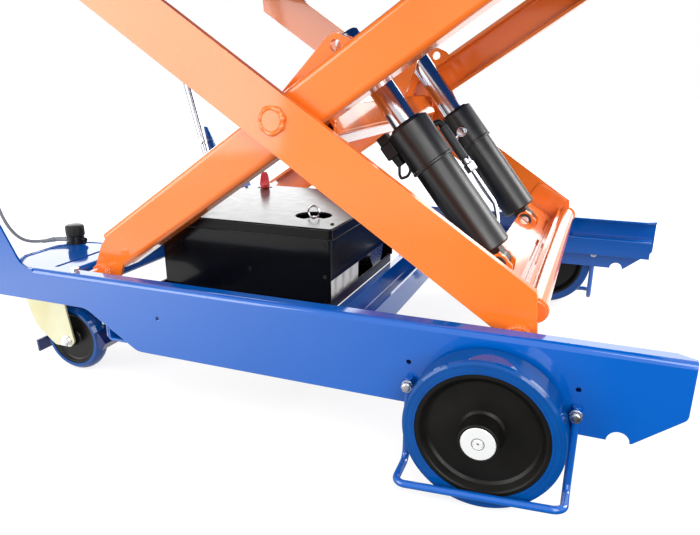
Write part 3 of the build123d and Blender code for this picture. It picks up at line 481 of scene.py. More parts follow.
def drawn_in(count, power):
    """Share of a bar's radius that closes its two ends: (1 - |u|^power)^0.5 with u from -1 to 1."""
    return np.sqrt(1.0 - np.abs(np.linspace(-1.0, 1.0, count)) ** power)


def polygon(count):
    """Outline with so many flats: 1 / cos of the angle from the middle of the nearest flat."""
    return lambda turn: 1.0 / np.cos(np.mod(turn, 2.0 * np.pi / count) - np.pi / count)


def fluted(count, depth):
    """Outline with so many round flutes: 1 + depth cos(count v)."""
    return lambda turn: 1.0 + depth * np.cos(count * turn)


triangle, hexagon = polygon(3), polygon(6)


def make_piece(name, body, finish, surfaces, crease=35.0):
    """Join surfaces into one mesh on a body: merge the points that meet, turn faces outward, keep creases."""
    grids, cells = zip(*surfaces)
    starts = np.cumsum([0] + [len(grid) for grid in grids])
    points = np.concatenate(grids)
    faces = np.concatenate([cell + start for cell, start in zip(cells, starts)])
    mesh = bpy.data.meshes.new(name)
    mesh.from_pydata(points.tolist(), [], faces.tolist())
    shape = bmesh.new()
    shape.from_mesh(mesh)
    bmesh.ops.remove_doubles(shape, verts=shape.verts, dist=JOIN_WITHIN)
    bmesh.ops.dissolve_degenerate(shape, edges=shape.edges, dist=COLLAPSE_WITHIN)
    bmesh.ops.recalc_face_normals(shape, faces=shape.faces)
    shape.to_mesh(mesh)
    shape.free()
    mesh.shade_smooth()
    mesh.set_sharp_from_angle(angle=math.radians(crease))
    mesh.materials.append(finish.material)
    piece = bpy.data.objects.new(name, mesh)
    scene.collection.objects.link(piece)
    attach(piece, body)
    print(name, "has", len(mesh.polygons), "faces on", body)
    return piece


# %% [markdown]
# ## Weld beads
# The arms, their stubs and the cross members are joined by fillet welds. A bead is laid as a row of
# overlapping puddles, so its thickness ripples along its length and fades where the torch was lifted.
# It could be sculpted puddle by puddle. A round bar along the joint with a rippled radius gives the same
# look from one formula, because half of it is sunk in the metal.

# %% Weld kit
ARM_TILT = math.radians(33.8)
INNER, OUTER = 1, -1     # the inner arms rise to the front, the outer ones fall
CROSSING = joint_place["scissor_crossing"]
CYLINDER_Y = 166.0
PUDDLE = 0.0032


def on_arm(lean, along, off, y):
    """Place on an arm in millimetres: along it to the front, square off it, and across the table."""
    direction = np.array([math.cos(ARM_TILT), 0.0, lean * math.sin(ARM_TILT)])
    square = np.array([-lean * math.sin(ARM_TILT), 0.0, math.cos(ARM_TILT)])
    return CROSSING * (1.0, 0.0, 1.0) + MM * (along * direction + off * square + y * Y_AXIS)


def seam(start, end, radius):
    """Straight bead, radius r (1 + 0.14 sin(2 pi length / puddle)), drawn in at both ends."""
    span = np.linalg.norm(end - start)
    count = max(12, int(4.0 * span / PUDDLE))
    share = np.linspace(0.0, 1.0, count)
    ripple = 1.0 + 0.14 * np.sin(2.0 * np.pi * share * span / PUDDLE)
    path = start + share[:, None] * (end - start)
    up = cross_axes(unit(end - start))[0]
    return drawn(path, radius * MM * ripple * drawn_in(count, 10), up, 10)


def arm_seam(lean, start, end, y, radius):
    """Straight bead on an arm from one place (along, off) to another, at one y."""
    return seam(on_arm(lean, *start, y), on_arm(lean, *end, y), radius)


def weld_ring(centre, radius, thick, phase=0.0, square=2.0, lobes=28, swell=0.13):
    """Closed bead round a line along Y: path(t) is a circle, or a rounded square for a high power, and the
    thickness swells in lobes: thick (1 + swell sin(lobes t + sin 2t) + 0.12 sin(3t + phase))."""
    turn = np.linspace(0.0, 2.0 * np.pi, 192, endpoint=False)
    first, second = cross_axes(Y_AXIS)
    reach = radius * MM / (np.abs(np.cos(turn)) ** square + np.abs(np.sin(turn)) ** square) ** (1.0 / square)
    path = centre + reach[:, None] * (np.cos(turn)[:, None] * first + np.sin(turn)[:, None] * second)
    lumps = 1.0 + swell * np.sin(lobes * turn + np.sin(2.0 * turn)) + 0.12 * np.sin(3.0 * turn + phase)
    return drawn(path, thick * MM * lumps, Y_AXIS, 10, True)


# %% Weld the outer arms
PIN_FACE, STUB_FACE, TUBE_FACE, PLATE_FACE, EDGE_FACE = 339.8, 341.2, 317.2, 317.4, 325.4
FRONT_TUBE = (428.2, 11)
outer_welds = []
for side in SIDES:
    stub = joint_place["lower_roller_turn"] + side * STUB_FACE * MM * Y_AXIS
    outer_welds += [
        weld_ring(on_arm(OUTER, 0, 0, side * PIN_FACE), 16.8, 3.3, side, lobes=7, swell=0.22),
        weld_ring(stub, 17.6, 2.7),
        weld_ring(on_arm(OUTER, *FRONT_TUBE, side * TUBE_FACE), 15.6, 2.0),
        arm_seam(OUTER, (344, -11.4), (405, -11.4), side * PLATE_FACE, 2.4),
        arm_seam(OUTER, (342, 30.6), (408, 33.4), side * EDGE_FACE, 2.2),
    ]
    for lug in (-23.5, 23.5):
        outer_welds.append(arm_seam(OUTER, (347, -11.6), (384, -11.6), side * CYLINDER_Y + lug, 2.0))
make_piece("outer_arm_welds", "outer_arms", orange_paint, outer_welds)

# %% Weld the inner arms
PIVOT_FACE, ROLLER_FACE, FOLD_FACE, BEAM_FACE = 318.2, 315.6, 283.4, 274.2
TORSION_BEAM = (26, -34)
inner_welds = []
for side in SIDES:
    pivot = joint_place["scissor_lift"] + side * PIVOT_FACE * MM * Y_AXIS
    roller = joint_place["upper_roller_turn"] + side * ROLLER_FACE * MM * Y_AXIS
    inner_welds += [
        weld_ring(pivot, 17.8, 2.6),
        weld_ring(roller, 16.6, 2.0),
        arm_seam(INNER, (-26, 28.4), (133, 28.4), side * FOLD_FACE, 1.9),
        weld_ring(on_arm(INNER, *TORSION_BEAM, side * BEAM_FACE), 24.4, 2.2, phase=1.0, square=9.0),
    ]
    for lug in (-30.4, -21.6, 21.6, 30.4):
        inner_welds.append(arm_seam(INNER, (10, -9.8), (40, -9.8), side * CYLINDER_Y + lug, 1.9))
make_piece("inner_arm_welds", "inner_arms", orange_paint, inner_welds)

# %% Weld the chassis beams to the rails
SUNK, SHORT = 0.0006, 0.004
chassis_welds = []
for beam in ("rear_beam", "centre_beam", "tray_beam"):
    low, high = (np.array(corner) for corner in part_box(beam))
    for x in (low[0], high[0]):
        for side in SIDES:
            foot = np.array([x, side * (high[1] - SUNK), low[2] + SHORT])
            chassis_welds.append(seam(foot, foot + (high[2] - low[2] - 2.0 * SHORT) * Z_AXIS, 2.2))
make_piece("chassis_welds", "chassis", blue_paint, chassis_welds)

# %% [markdown]
# ## The bar behind the slots
# The cross plate has slots along its fold, and orange metal, not daylight, shows behind them. A second
# plate could lie there; a round bar under the fold does the same and needs no fitting to the bend. It is
# a circle carried along a straight path across the table, drawn in at both ends.

# %% Lay the bar
BAR_ROWS, BAR_RADIUS, BAR_REACH = 160, 5.6, 325
BAR_PLACE = (401, -22.6)
bar_start, bar_end = (on_arm(OUTER, *BAR_PLACE, side * BAR_REACH) for side in SIDES)
bar_share = np.linspace(0.0, 1.0, BAR_ROWS)[:, None]
bar_path = (1.0 - bar_share) * bar_start + bar_share * bar_end
bar = drawn(bar_path, BAR_RADIUS * MM * drawn_in(BAR_ROWS, 200), Z_AXIS, 24)
make_piece("slot_bar", "outer_arms", orange_paint, [bar])

# %% [markdown]
# ## Pressed ridges of the caster decks
# Each deck is a shallow pressing. A ridge pressed just inside its edge stiffens it: straight along the
# rail, round the two rear corners and straight back along the inner side. It could be embossed in the
# plate itself; a thin bar half sunk in the plate draws the same line and leaves the solid alone.

# %% Press the ridges
def quarter(centre, radius, start, count=24):
    """Quarter circle in a level plane: centre + radius (cos t, sin t) from the start angle on."""
    turn = np.linspace(start, start + np.pi / 2, count)
    return np.stack([centre[0] + radius * np.cos(turn), centre[1] + radius * np.sin(turn)], axis=-1)


DECK_FRONT, DECK_REAR, DECK_INNER, DECK_OUTER = -331.0, -431.0, -190.0, -385.0
DECK_TOP, DECK_BEND = 210.4, 62.0
RIDGE_INSET, RIDGE_SUNK, RIDGE_RADIUS = 11.0, 0.2, 1.5
corner_inner = (DECK_REAR + DECK_BEND, DECK_INNER - DECK_BEND)
corner_outer = (DECK_REAR + DECK_BEND, DECK_OUTER + DECK_BEND)
ridge_line = np.concatenate([
    [(DECK_FRONT, DECK_INNER - RIDGE_INSET)], quarter(corner_inner, DECK_BEND - RIDGE_INSET, np.pi / 2),
    quarter(corner_outer, DECK_BEND - RIDGE_INSET, np.pi), [(DECK_FRONT, DECK_OUTER + RIDGE_INSET)],
])
level = np.full(len(ridge_line), DECK_TOP - RIDGE_SUNK)
ridges = []
for side in SIDES:
    path = MM * np.c_[ridge_line[:, 0], -side * ridge_line[:, 1], level]
    ridges.append(drawn(path, RIDGE_RADIUS * MM * drawn_in(len(path), 40), Z_AXIS, 12))
make_piece("deck_ridges", "chassis", blue_paint, ridges)

# %% [markdown]
# ## Screws, washers and plugs
# A bolted joint shows a washer under a hexagon head, and a domed or socketed top. Each is a short
# profile turned round the bolt's axis; a hexagon is the same surface with an outline that follows
# six flats. The handle tubes are closed below with pressed-in plastic plugs.

# %% Washers and domed bolt heads
WASHER = [(0, 0), (9.4, 0), (9.8, 0.4), (9.8, 1.3), (9.4, 1.7), (0, 1.7)]
DOME = [(0, -0.2), (5.8, -0.2), (5.8, 0.0), (5.2, 0.5), (3.4, 0.9), (0, 1.0)]
RAIL_INSIDE, HEAD_HEIGHT = 0.385, 7.0
GUARD_SPAN, GUARD_Z, GUARD_FACE, GUARD_WASHER = 0.104, 131 * MM, 399.0, 0.8
HANDLE_X, HANDLE_Y, HANDLE_Z, HANDLE_FACE = -0.4876, 0.365, 309, 389.0
HANDLE_LEAN = 1.0 / math.tan(math.radians(76.0))


def upright_x(z):
    """Place along the table of the handle's uprights at a height in millimetres."""
    return HANDLE_X - (z - HANDLE_Z) * MM * HANDLE_LEAN


wheel_x = joint_place["wheel_right_roll"][0]
guard_bolts = [(wheel_x + end * GUARD_SPAN, GUARD_Z, GUARD_FACE) for end in SIDES]
handle_bolts = [(upright_x(z), z * MM, HANDLE_FACE) for z in (255.0, 346.0)]
washers = []
for x, z, face in guard_bolts + handle_bolts:
    for side in SIDES:
        place = np.array([x, side * face * MM, z])
        spread = GUARD_WASHER if face == GUARD_FACE else 1.0
        washers.append(turned([(spread * r, h) for r, h in WASHER], place, side * Y_AXIS))
        washers.append(turned(DOME, place + side * HEAD_HEIGHT * MM * Y_AXIS, side * Y_AXIS, sides=24))
make_piece("bolt_washers", "chassis", zinc_plate, washers)

NUT_END = [(0, 10), (3.6, 10), (4.0, 9.4), (4.0, 6.2), (5.6, 6.2), (6.5, 5.6), (6.5, 0.4), (6.0, 0), (0, 0)]
guard_nuts = [turned(NUT_END, np.array([x, side * RAIL_INSIDE, z]), -side * Y_AXIS, hexagon)
              for x, z, face in guard_bolts for side in SIDES]
make_piece("guard_nuts", "chassis", zinc_plate, guard_nuts)

# %% Wheel bolts of the casters
BOLT_WASHER = [(0, 0), (10.2, 0), (10.6, 0.4), (10.6, 1.0), (10.2, 1.4), (0, 1.4)]
BOLT_HEAD = [(0, 1.2), (7.7, 1.2), (7.7, 6.8), (7.2, 7.3), (6.1, 7.3), (6.1, 8.6), (5.4, 9.2), (0, 9.3)]
BOLT_OUT = 8.5     # the solid bolt's end beyond the fork leg
for side, name in zip(SIDES, HANDS):
    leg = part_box("caster_fork_" + name)[0 if side < 0 else 1][1] - side * BOLT_OUT * MM
    place = joint_place["caster_" + name + "_roll"] * (1.0, 0.0, 1.0) + leg * Y_AXIS
    make_piece("caster_bolt_" + name, "caster_" + name, zinc_plate,
               [turned(BOLT_WASHER, place, side * Y_AXIS), turned(BOLT_HEAD, place, side * Y_AXIS, hexagon)])

# %% Socket screws of the power box and plugs of the handle
SCREW = [(0, 0.6), (1.3, 0.6), (1.5, 1.5), (2.2, 1.8), (2.9, 1.4), (3.3, 0.6), (3.3, -0.3), (0, -0.3)]
BOX_TOP, BOX_RIGHT, BOX_LEFT = 291.0, -245.0, 82.0
LID_SCREWS, WALL_SCREWS = ((121, -213), (-181, 43)), ((120.5, 263.7), (121.5, 212.8))
box_screws = [turned(SCREW, MM * np.array([x, y, BOX_TOP]), Z_AXIS, sides=24) for x, y in LID_SCREWS]
for x, z in WALL_SCREWS:
    for y, out in ((BOX_RIGHT, -Y_AXIS), (BOX_LEFT, Y_AXIS)):
        box_screws.append(turned(SCREW, MM * np.array([x, y, z]), out, sides=24))
make_piece("box_screws", "chassis", black_plastic, box_screws)

HANDLE_DOWN = unit(np.array([HANDLE_LEAN, 0.0, -1.0]))
PLUG = [(0, -6), (8.8, -6), (8.8, 0), (11.2, 0.2), (11.4, 2.0), (9.6, 4.4), (5.0, 5.6), (0, 5.8)]
TUBE_END = 225
plugs = [turned(PLUG, np.array([upright_x(TUBE_END), side * HANDLE_Y, TUBE_END * MM]), HANDLE_DOWN)
         for side in SIDES]
make_piece("handle_plugs", "chassis", black_plastic, plugs)

# %% [markdown]
# ## The rolled edge of the lid
# The lid is a shallow pressing whose rim is rolled at its lower edge. The roll stiffens it and draws
# one long bright line round the box. A bevel on the lid would only round it; the roll stands proud, so
# it is a thin bar carried along a rectangle with rounded corners.

# %% Roll the lid's edge
def rounded_loop(low, high, corner, z):
    """Rectangle with a quarter circle at each corner, at one height."""
    rear, front = low[0] + corner, high[0] - corner
    right, left = low[1] + corner, high[1] - corner
    centres = ((front, left), (rear, left), (rear, right), (front, right))
    flat = np.concatenate([quarter(spot, corner, i * np.pi / 2, 28) for i, spot in enumerate(centres)])
    return np.c_[flat, np.full(len(flat), z)]


lid_low, lid_high = (np.array(corner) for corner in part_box("power_lid"))
LID_CORNER, ROLL_RISE, ROLL_RADIUS = 0.006, 0.0008, 0.0011
lid_path = rounded_loop(lid_low, lid_high, LID_CORNER, lid_low[2] + ROLL_RISE)
make_piece("lid_roll", "chassis", lid_paint, [drawn(lid_path, ROLL_RADIUS, Z_AXIS, 12, True)])

# %% [markdown]
# ## Hydraulic lines
# Oil reaches each cylinder through a port in its head. The right one carries a black burst valve behind
# its head. Its hose leaves the head on the far side, wears a grey sleeve and ends in a plated hexagon
# fitting, with a bright pipe below it. On the left one a steel pipe starts at a banjo, a ring clamped
# under a hollow bolt, and winds a quarter turn round the barrel. Bevelled curves could draw these lines;
# a grid along an eased path also closes their ends. A place on a line is given in the cylinder's own
# terms: distance from the lower pin, angle round the axis and distance from it.

# %% Cylinder frame and rod wipers
PORT = joint_place["cylinder_swing"]
DRAW = unit(joint_axis["rod_slide"])
REAR = np.cross(DRAW, Y_AXIS)


def outward(degrees):
    """Unit vector square to a cylinder: 0 points to the table's right-hand side, 90 rearward and down."""
    angle = math.radians(degrees)
    return -math.cos(angle) * Y_AXIS + math.sin(angle) * REAR


def by_cylinder(side, distance, degrees=0.0, reach=0.0):
    """Place by a cylinder: millimetres from its lower pin, angle round it and millimetres from its axis."""
    return PORT + side * CYLINDER_Y * MM * Y_AXIS + MM * (distance * DRAW + reach * outward(degrees))


def eased_path(points, count, window=9):
    """Polyline resampled evenly by length, then averaged over a short window to soften its corners."""
    points = np.asarray(points)
    length = np.concatenate([[0.0], np.cumsum(np.linalg.norm(np.diff(points, axis=0), axis=1))])
    even = np.linspace(0.0, length[-1], count)
    path = np.stack([np.interp(even, length, column) for column in points.T], axis=-1)
    padded = np.pad(path, ((window, window), (0, 0)), mode="edge")
    share = np.full(2 * window + 1, 1.0 / (2 * window + 1))
    return np.stack([np.convolve(column, share, mode="valid") for column in padded.T], axis=-1)


def line_by(side, rows, radius, up, count=140):
    """Round line led by rows of distance, angle and reach, its ends drawn in to a dome."""
    path = eased_path([by_cylinder(side, *row) for row in rows], count)
    return drawn(path, radius * MM * drawn_in(count, 60), up, 16)


WIPER = [(20.4, 249.6), (29, 249.6), (29, 251.4), (26.5, 252.2), (25, 254.2), (22, 254.4), (20.4, 252.4)]
wipers = [turned(WIPER, by_cylinder(side, 0), DRAW, sides=64, ring=True) for side in SIDES]
make_piece("rod_wipers", "cylinder_barrels", black_rubber, wipers)

# %% Burst valve and hose of the right cylinder
HOSE_TURN, HOSE_REACH = -130.0, 47.0
HOSE_UP = np.cross(DRAW, outward(HOSE_TURN))


def block_outline(half_y, half_rear, power=7.0):
    """Outline of a block with eased corners: the superellipse (|cos|/a)^n + (|sin|/b)^n = 1/r^n."""
    return lambda turn: ((np.abs(np.cos(turn)) / half_y) ** power
                         + (np.abs(np.sin(turn)) / half_rear) ** power) ** (-1.0 / power)


COIL = [(0, 0), (0.9, 0), (1, 1.2), (1, 23), (0.93, 24), (0.82, 24.4), (0.82, 36.6), (0.76, 38), (0, 38)]
BOSS = [(0, -16), (6.2, -16), (7.4, -14.6), (7.4, -9), (8, -8.4), (8, 0.5), (0, 0.5)]
HOSE_ROUTE = ((228, HOSE_TURN, 33), (228, HOSE_TURN, HOSE_REACH), (146, HOSE_TURN, HOSE_REACH))
LOOP_ROUTE = ((208, 84, 44), (196, 82, 52), (189, 72, 52), (186, 62, 43), (190, 58, 35), (197, 56, 33))
valve_foot = by_cylinder(RIGHT, 222, 90, 42)
hose_parts = [
    turned(COIL, valve_foot, DRAW, block_outline(13.0, 11.0), 96),
    turned(BOSS, valve_foot, DRAW),
    line_by(RIGHT, HOSE_ROUTE, 5.0, HOSE_UP),
    line_by(RIGHT, LOOP_ROUTE, 2.3, Y_AXIS + DRAW),
]
hose = make_piece("hose_run", "cylinder_barrels", black_rubber, hose_parts)
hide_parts("hose_line")

hose_foot = by_cylinder(RIGHT, 0, HOSE_TURN, HOSE_REACH)
SLEEVE = [(5.02, 160), (6.6, 160), (6.9, 161.5), (6.9, 216.5), (6.6, 218), (5.02, 218)]
make_piece("hose_sleeve", "cylinder_barrels", sleeve_grey,
           [turned(SLEEVE, hose_foot, DRAW, ring=True)])

# %% Bright fittings and the pipe of the left cylinder
NUT = [(3.0, 136), (7.2, 136), (7.8, 137), (7.8, 149), (7.2, 150), (3.0, 150)]
FERRULE = [(5.02, 150), (6.7, 150), (7.1, 151), (7.1, 158.6), (6.5, 159.6), (5.02, 159.6)]
BANJO = [(8.2, 35.2), (9.4, 36), (10.0, 38), (10.0, 42), (9.2, 44.2), (0, 44.2), (0, 35.2)]
BOLT = [(0, 44), (6.2, 44), (6.8, 44.6), (6.8, 48.6), (6.0, 49.6), (0, 49.8)]
LOW_ROUTE = ((144, HOSE_TURN, HOSE_REACH), (76, HOSE_TURN, HOSE_REACH), (58, HOSE_TURN, 38),
             (46, HOSE_TURN, 30))
fittings = [
    turned(NUT, hose_foot, DRAW, hexagon, ring=True),
    turned(FERRULE, hose_foot, DRAW, ring=True),
    line_by(RIGHT, LOW_ROUTE, 3.4, HOSE_UP),
]
make_piece("hose_fittings", "cylinder_barrels", chrome, fittings)

PIPE_ROUTE = ((210, 0, 40), (210, 12, 43), (206, 24, 44), (196, 30, 43), (162, 37, 40), (130, 55, 38),
              (102, 75, 37), (70, 86, 37), (48, 90, 34), (38, 90, 30))
banjo_foot = by_cylinder(LEFT, 210)
pipe_parts = [
    turned(BANJO, banjo_foot, outward(0), ring=True),
    turned(BOLT, banjo_foot, outward(0), hexagon),
    line_by(LEFT, PIPE_ROUTE, 3.0, outward(45)),
]
pipe = make_piece("pipe_run", "cylinder_barrels", chrome, pipe_parts)
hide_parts("steel_line")

# %% Washers of the lower cylinder pins
PIN_WASHER = [(8.1, 0), (12.4, 0), (12.8, 0.4), (12.8, 1.6), (12.4, 2.0), (8.1, 2.0)]
LUG_FACE = 23.1
pin_washers = []
for side in SIDES:
    for end in SIDES:
        face = by_cylinder(side, 0) + end * LUG_FACE * MM * Y_AXIS
        pin_washers.append(turned(PIN_WASHER, face, end * Y_AXIS, ring=True))
make_piece("pin_washers", "outer_arms", black_cylinder, pin_washers)

# %% [markdown]
# ## Mould ridges of the wheels
# Where the two halves of a tyre mould meet the steel ring, a low ridge stays on the side of the tyre.
# Bump could fake it, but it catches the light along its edge, so it is a small profile turned round the
# axle. It turns with its wheel, so it rides on the wheel's body.

# %% Ridges on the tyres
RIDGE = [(-0.9, -0.4), (-0.6, 0.1), (0.0, 0.25), (0.6, 0.1), (0.9, -0.4)]
RIDGE_RADII, TYRE_FACE = (86.6, 93.4), 0.439
for side, name in zip(SIDES, HANDS):
    hub = joint_place["wheel_" + name + "_roll"] * (1.0, 0.0, 1.0) + side * TYRE_FACE * Y_AXIS
    ridges = [turned([(radius + r, h) for r, h in RIDGE], hub, side * Y_AXIS, sides=128, ring=True)
              for radius in RIDGE_RADII]
    make_piece("tyre_ridges_" + name, "wheel_" + name, tyre_finish[name], ridges)

# %% [markdown]
# ## The control cable
# A grey cable leaves the plug on the rear deck, bends up and runs along the right-hand upright into
# the hand control. Straight tubes joined at their ends would look like bent wire, so it is one smooth
# spline led by its route points, with a round section. A ribbed boot at each end keeps it from kinking:
# its radius falls along its length and drops into grooves.

# %% Lay the cable
FRONT_X = 0.631     # front end of the rails, from which the route is measured
CABLE_RADIUS = 0.003
cable_route = np.array([
    (-1074.6, -230.9, 218.2), (-1091, -256, 216.5), (-1105, -284, 226), (-1114, -302, 258),
    (-1120, -310, 302), (-1130, -322, 355), (-1143, -337, 408), (-1157, -346, 463), (-1171, -348.5, 520),
    (-1185.5, -346, 578), (-1198, -339, 628), (-1210, -331, 676), (-1221, -324, 722), (-1231.5, -321, 762),
]) / 1000.0 + np.array([FRONT_X, 0.0, 0.0])
cable_curve = bpy.data.curves.new("control_lead", "CURVE")
cable_curve.dimensions = "3D"
cable_curve.bevel_depth = CABLE_RADIUS
cable_curve.bevel_resolution = 6
cable_curve.use_fill_caps = True
cable_curve.resolution_u = 24
spline = cable_curve.splines.new("NURBS")
spline.points.add(len(cable_route) - 1)
spline.points.foreach_set("co", np.c_[cable_route, np.ones(len(cable_route))].ravel())
spline.order_u = 3
spline.use_endpoint_u = True
cable_curve.materials.append(cable_grey.material)
cable = bpy.data.objects.new("control_lead", cable_curve)
scene.collection.objects.link(cable)
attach(cable, "chassis")
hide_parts("control_cable")
print("cable laid through", len(cable_route), "points")

# %% Boots at both ends of the cable
GLAND = [(0, 12), (4.6, 12), (5.0, 12.6), (5.0, 20), (4.4, 21.4), (4.4, 36), (0, 37)]
PLUG_X, PLUG_Y, PLUG_OUTLET = -409.0, -215.0, 7.8
BOOT_BORE, BOOT_LENGTH, GROOVES, GROOVE_DEPTH = 3.05, 24.0, 5.0, 0.45
plug_foot = MM * np.array([PLUG_X, PLUG_Y, DECK_TOP])
plug_side = plug_foot + PLUG_OUTLET * MM * Z_AXIS
share = np.linspace(0.0, 1.0, 61)
boot_radius = 5.0 - 1.7 * share - GROOVE_DEPTH * (np.sin(2.0 * np.pi * GROOVES * share) > 0.55)
boot_side = np.c_[boot_radius, BOOT_LENGTH * share]
boot_profile = np.concatenate([[(BOOT_BORE, 0.0)], boot_side, [(BOOT_BORE, BOOT_LENGTH)]])
boots = [turned(boot_profile, start, ahead - start, sides=32, ring=True)
         for start, ahead in ((cable_route[0], cable_route[1]), (cable_route[-1], cable_route[-2]))]
gland = turned(GLAND, plug_side, cable_route[0] - plug_side)
make_piece("cable_boots", "chassis", cable_grey, boots + [gland])

# %% [markdown]
# ## Plug cap and hand control
# The plug's cap is fluted so that a gloved hand can turn it. The hand control has a green button to
# raise and a red one to lower, each with a raised arrow, and four screws that close its case. All of
# them are turned pieces: flutes and triangles are only outlines that stretch the circle.

# %% Turn the plug
PLUG_BASE = [(0, 0), (17.6, 0), (18, 0.5), (18, 2.0), (15.4, 2.8), (15.4, 17), (0, 17)]
PLUG_CAP = [(0, 15.4), (16.2, 15.4), (16.9, 16.2), (16.9, 31), (15.8, 34), (13.6, 35.4), (0, 35.8)]
SIDE_SCREW = [(0, 12), (3.0, 12), (3.0, 19.6), (4.4, 20), (4.6, 21), (4.6, 23), (4.0, 24), (0, 24.2)]
plug_parts = [
    turned(PLUG_BASE, plug_foot, Z_AXIS),
    turned(PLUG_CAP, plug_foot, Z_AXIS, fluted(28, 0.016), 224),
    turned(SIDE_SCREW, plug_side, (1.0, 0.0, 0.0)),
]
plug = make_piece("deck_plug", "chassis", black_plastic, plug_parts)
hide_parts("deck_connector")

# %% Arrows of the buttons and screws of the case
CASE_LEAN = math.radians(14)
CASE_IN = np.array([math.cos(CASE_LEAN), 0.0, math.sin(CASE_LEAN)])
CASE_UP = np.array([-math.sin(CASE_LEAN), 0.0, math.cos(CASE_LEAN)])
CASE_Y, CASE_Z, CASE_FACE = -0.321, 820, 21.9
BUTTON_FACE, UP_PLACE, DOWN_PLACE = 30.2, 26, -14
ARROW = [(0, 0), (2.6, 0), (2.6, 0.5), (2.3, 0.7), (0, 0.7)]
case = np.array([upright_x(CASE_Z), CASE_Y, CASE_Z * MM])


def arrow_head(offset, pointing):
    """Raised triangle on a button, its corner turned to the case's top or foot."""
    points, faces = turned(ARROW, np.zeros(3), Z_AXIS, triangle)
    spot = case - BUTTON_FACE * MM * CASE_IN + offset * MM * CASE_UP
    local = -points[:, 1:2] * pointing * CASE_UP + points[:, :1] * Y_AXIS - points[:, 2:] * CASE_IN
    return spot + local, faces


make_piece("arrow_up", "button_up", sign_white, [arrow_head(UP_PLACE, 1.0)])
make_piece("arrow_down", "button_down", sign_white, [arrow_head(DOWN_PLACE, -1.0)])
case_screws = []
for up in (-50, 50):
    for across in (-20, 20):
        spot = case + MM * (-CASE_FACE * CASE_IN + up * CASE_UP + across * Y_AXIS)
        case_screws.append(turned(SCREW, spot, -CASE_IN, sides=24))
make_piece("case_screws", "chassis", zinc_plate, case_screws)

# %% [markdown]
# ## Floor, light and air
# The table stands on a pale floor in white air. The floor glows only where a ray comes straight from
# the camera or from a mirror-like surface, so that it looks white in the picture and in bright metal,
# and no extra light falls on the table. The glow is weaker under the table, where it keeps the soft
# shadow, and full at a distance, so no horizon shows. In mirrors the floor carries a painted shadow at
# the front right and a painted pool of light at the front left, so the long rail runs from deep to pale
# blue. A white box of walls could do the same, but it would also brighten every shaded side.

# %% The floor
scene.view_settings.view_transform = "Standard"
FLOOR_HALF = 14.0
floor_mesh = bpy.data.meshes.new("floor")
corners = FLOOR_HALF * np.array([(-1, -1, 0), (1, -1, 0), (1, 1, 0), (-1, 1, 0)])
floor_mesh.from_pydata(corners.tolist(), [], [(0, 1, 2, 3)])
floor = bpy.data.objects.new("floor", floor_mesh)
scene.collection.objects.link(floor)

WHITE = (1.0, 1.0, 1.0, 1.0)
MIRROR_RAYS = ("Is Glossy Ray", "Is Transmission Ray")
FLOOR_GREY, DARK_GREY = 0.32, 0.04
UNDER_GLOW, FAR_GLOW, MIRROR_GLOW, POOL_GLOW = 0.76, 1.1, 0.9, 1.9
MIDDLE_REACH, DARK_REACH, POOL_REACH = (0.7, 1.7), (0.5, 1.5), (0.1, 1.38)
DARK_TO_MIDDLE, POOL_TO_MIDDLE = (-0.75, 0.95, 0.0), (0.8, 0.8, 0.0)
ground = Finish("studio_floor")
ground.set(Roughness=0.8, Specular_IOR_Level=0.0, Emission_Color=WHITE)
ray = ground.node("ShaderNodeLightPath").outputs
from_middle = ground.length(ground.place)
from_dark = ground.length(ground.moved(shift=DARK_TO_MIDDLE))
from_pool = ground.length(ground.moved(shift=POOL_TO_MIDDLE))
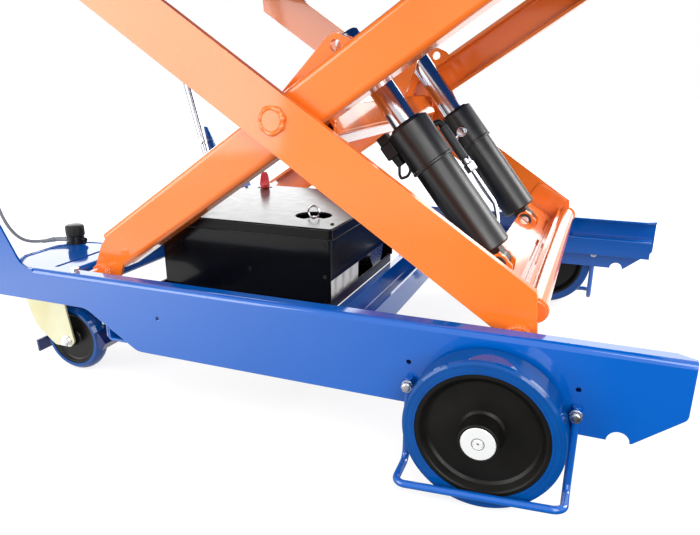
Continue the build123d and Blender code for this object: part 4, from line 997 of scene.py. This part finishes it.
# Painted shadow, seen only in mirrors: near the front right spot the floor turns dark grey.
dark = ground.product(ray["Is Glossy Ray"], ground.between(from_dark, 1.0, 0.0, *DARK_REACH))
ground.use(ground.between(dark, FLOOR_GREY, DARK_GREY, 0.0, 1.0), "Base Color")
glow = ground.product(ray["Is Camera Ray"], ground.between(from_middle, UNDER_GLOW, FAR_GLOW, *MIDDLE_REACH))
# Painted reflection, seen only in mirrors: no glow at the front right spot, rising away from it, and a pool
# of light brighter than white at the front left.
mirrored = ground.larger(ground.between(from_dark, 0.0, MIRROR_GLOW, *DARK_REACH),
                         ground.between(from_pool, POOL_GLOW, 0.0, *POOL_REACH))
for kind in MIRROR_RAYS:
    glow = ground.larger(glow, ground.product(ray[kind], mirrored))
ground.use(glow, "Emission Strength")
floor_mesh.materials.append(ground.material)

# %% The air round the table
AIR_LIGHT, AIR_SHOWN = 0.6, 1.0
world = bpy.data.worlds.new("studio_air")
scene.world = world
air = Wiring(world, "Background")
air.set(Color=WHITE)
ray = air.node("ShaderNodeLightPath").outputs
shown = ray["Is Camera Ray"]
for kind in MIRROR_RAYS:
    shown = air.larger(shown, ray[kind])
air.use(air.between(shown, AIR_LIGHT, AIR_SHOWN, 0.0, 1.0), "Strength")
print("floor of", 2 * FLOOR_HALF, "m and white air")


# %% Soft boxes
def soft_box(name, place, target, width, height, watts):
    """Rectangular lamp that faces a target point."""
    data = bpy.data.lights.new(name, "AREA")
    data.shape = "RECTANGLE"
    data.size = width
    data.size_y = height
    data.energy = watts
    lamp = bpy.data.objects.new(name, data)
    lamp.location = place
    lamp.rotation_euler = (Vector(target) - Vector(place)).to_track_quat("-Z", "Y").to_euler()
    scene.collection.objects.link(lamp)


soft_box("key_light", (1.6, -2.2, 2.6), (0.1, 0.0, 0.3), 1.8, 1.8, 48.0)
soft_box("fill_light", (-2.0, -2.2, 1.0), (0.0, 0.0, 0.4), 2.2, 1.9, 62.0)
soft_box("back_light", (-1.4, 2.9, 1.4), (-0.2, 0.0, 0.4), 6.0, 2.0, 90.0)
soft_box("side_light", (2.3, 1.1, 1.3), (0.3, 0.1, 0.3), 1.2, 1.8, 60.0)
soft_box("low_light", (1.6, -2.2, 0.7), (0.2, 0.0, 0.4), 1.4, 0.8, 24.0)

# %% End of the scene
print("scene ready")
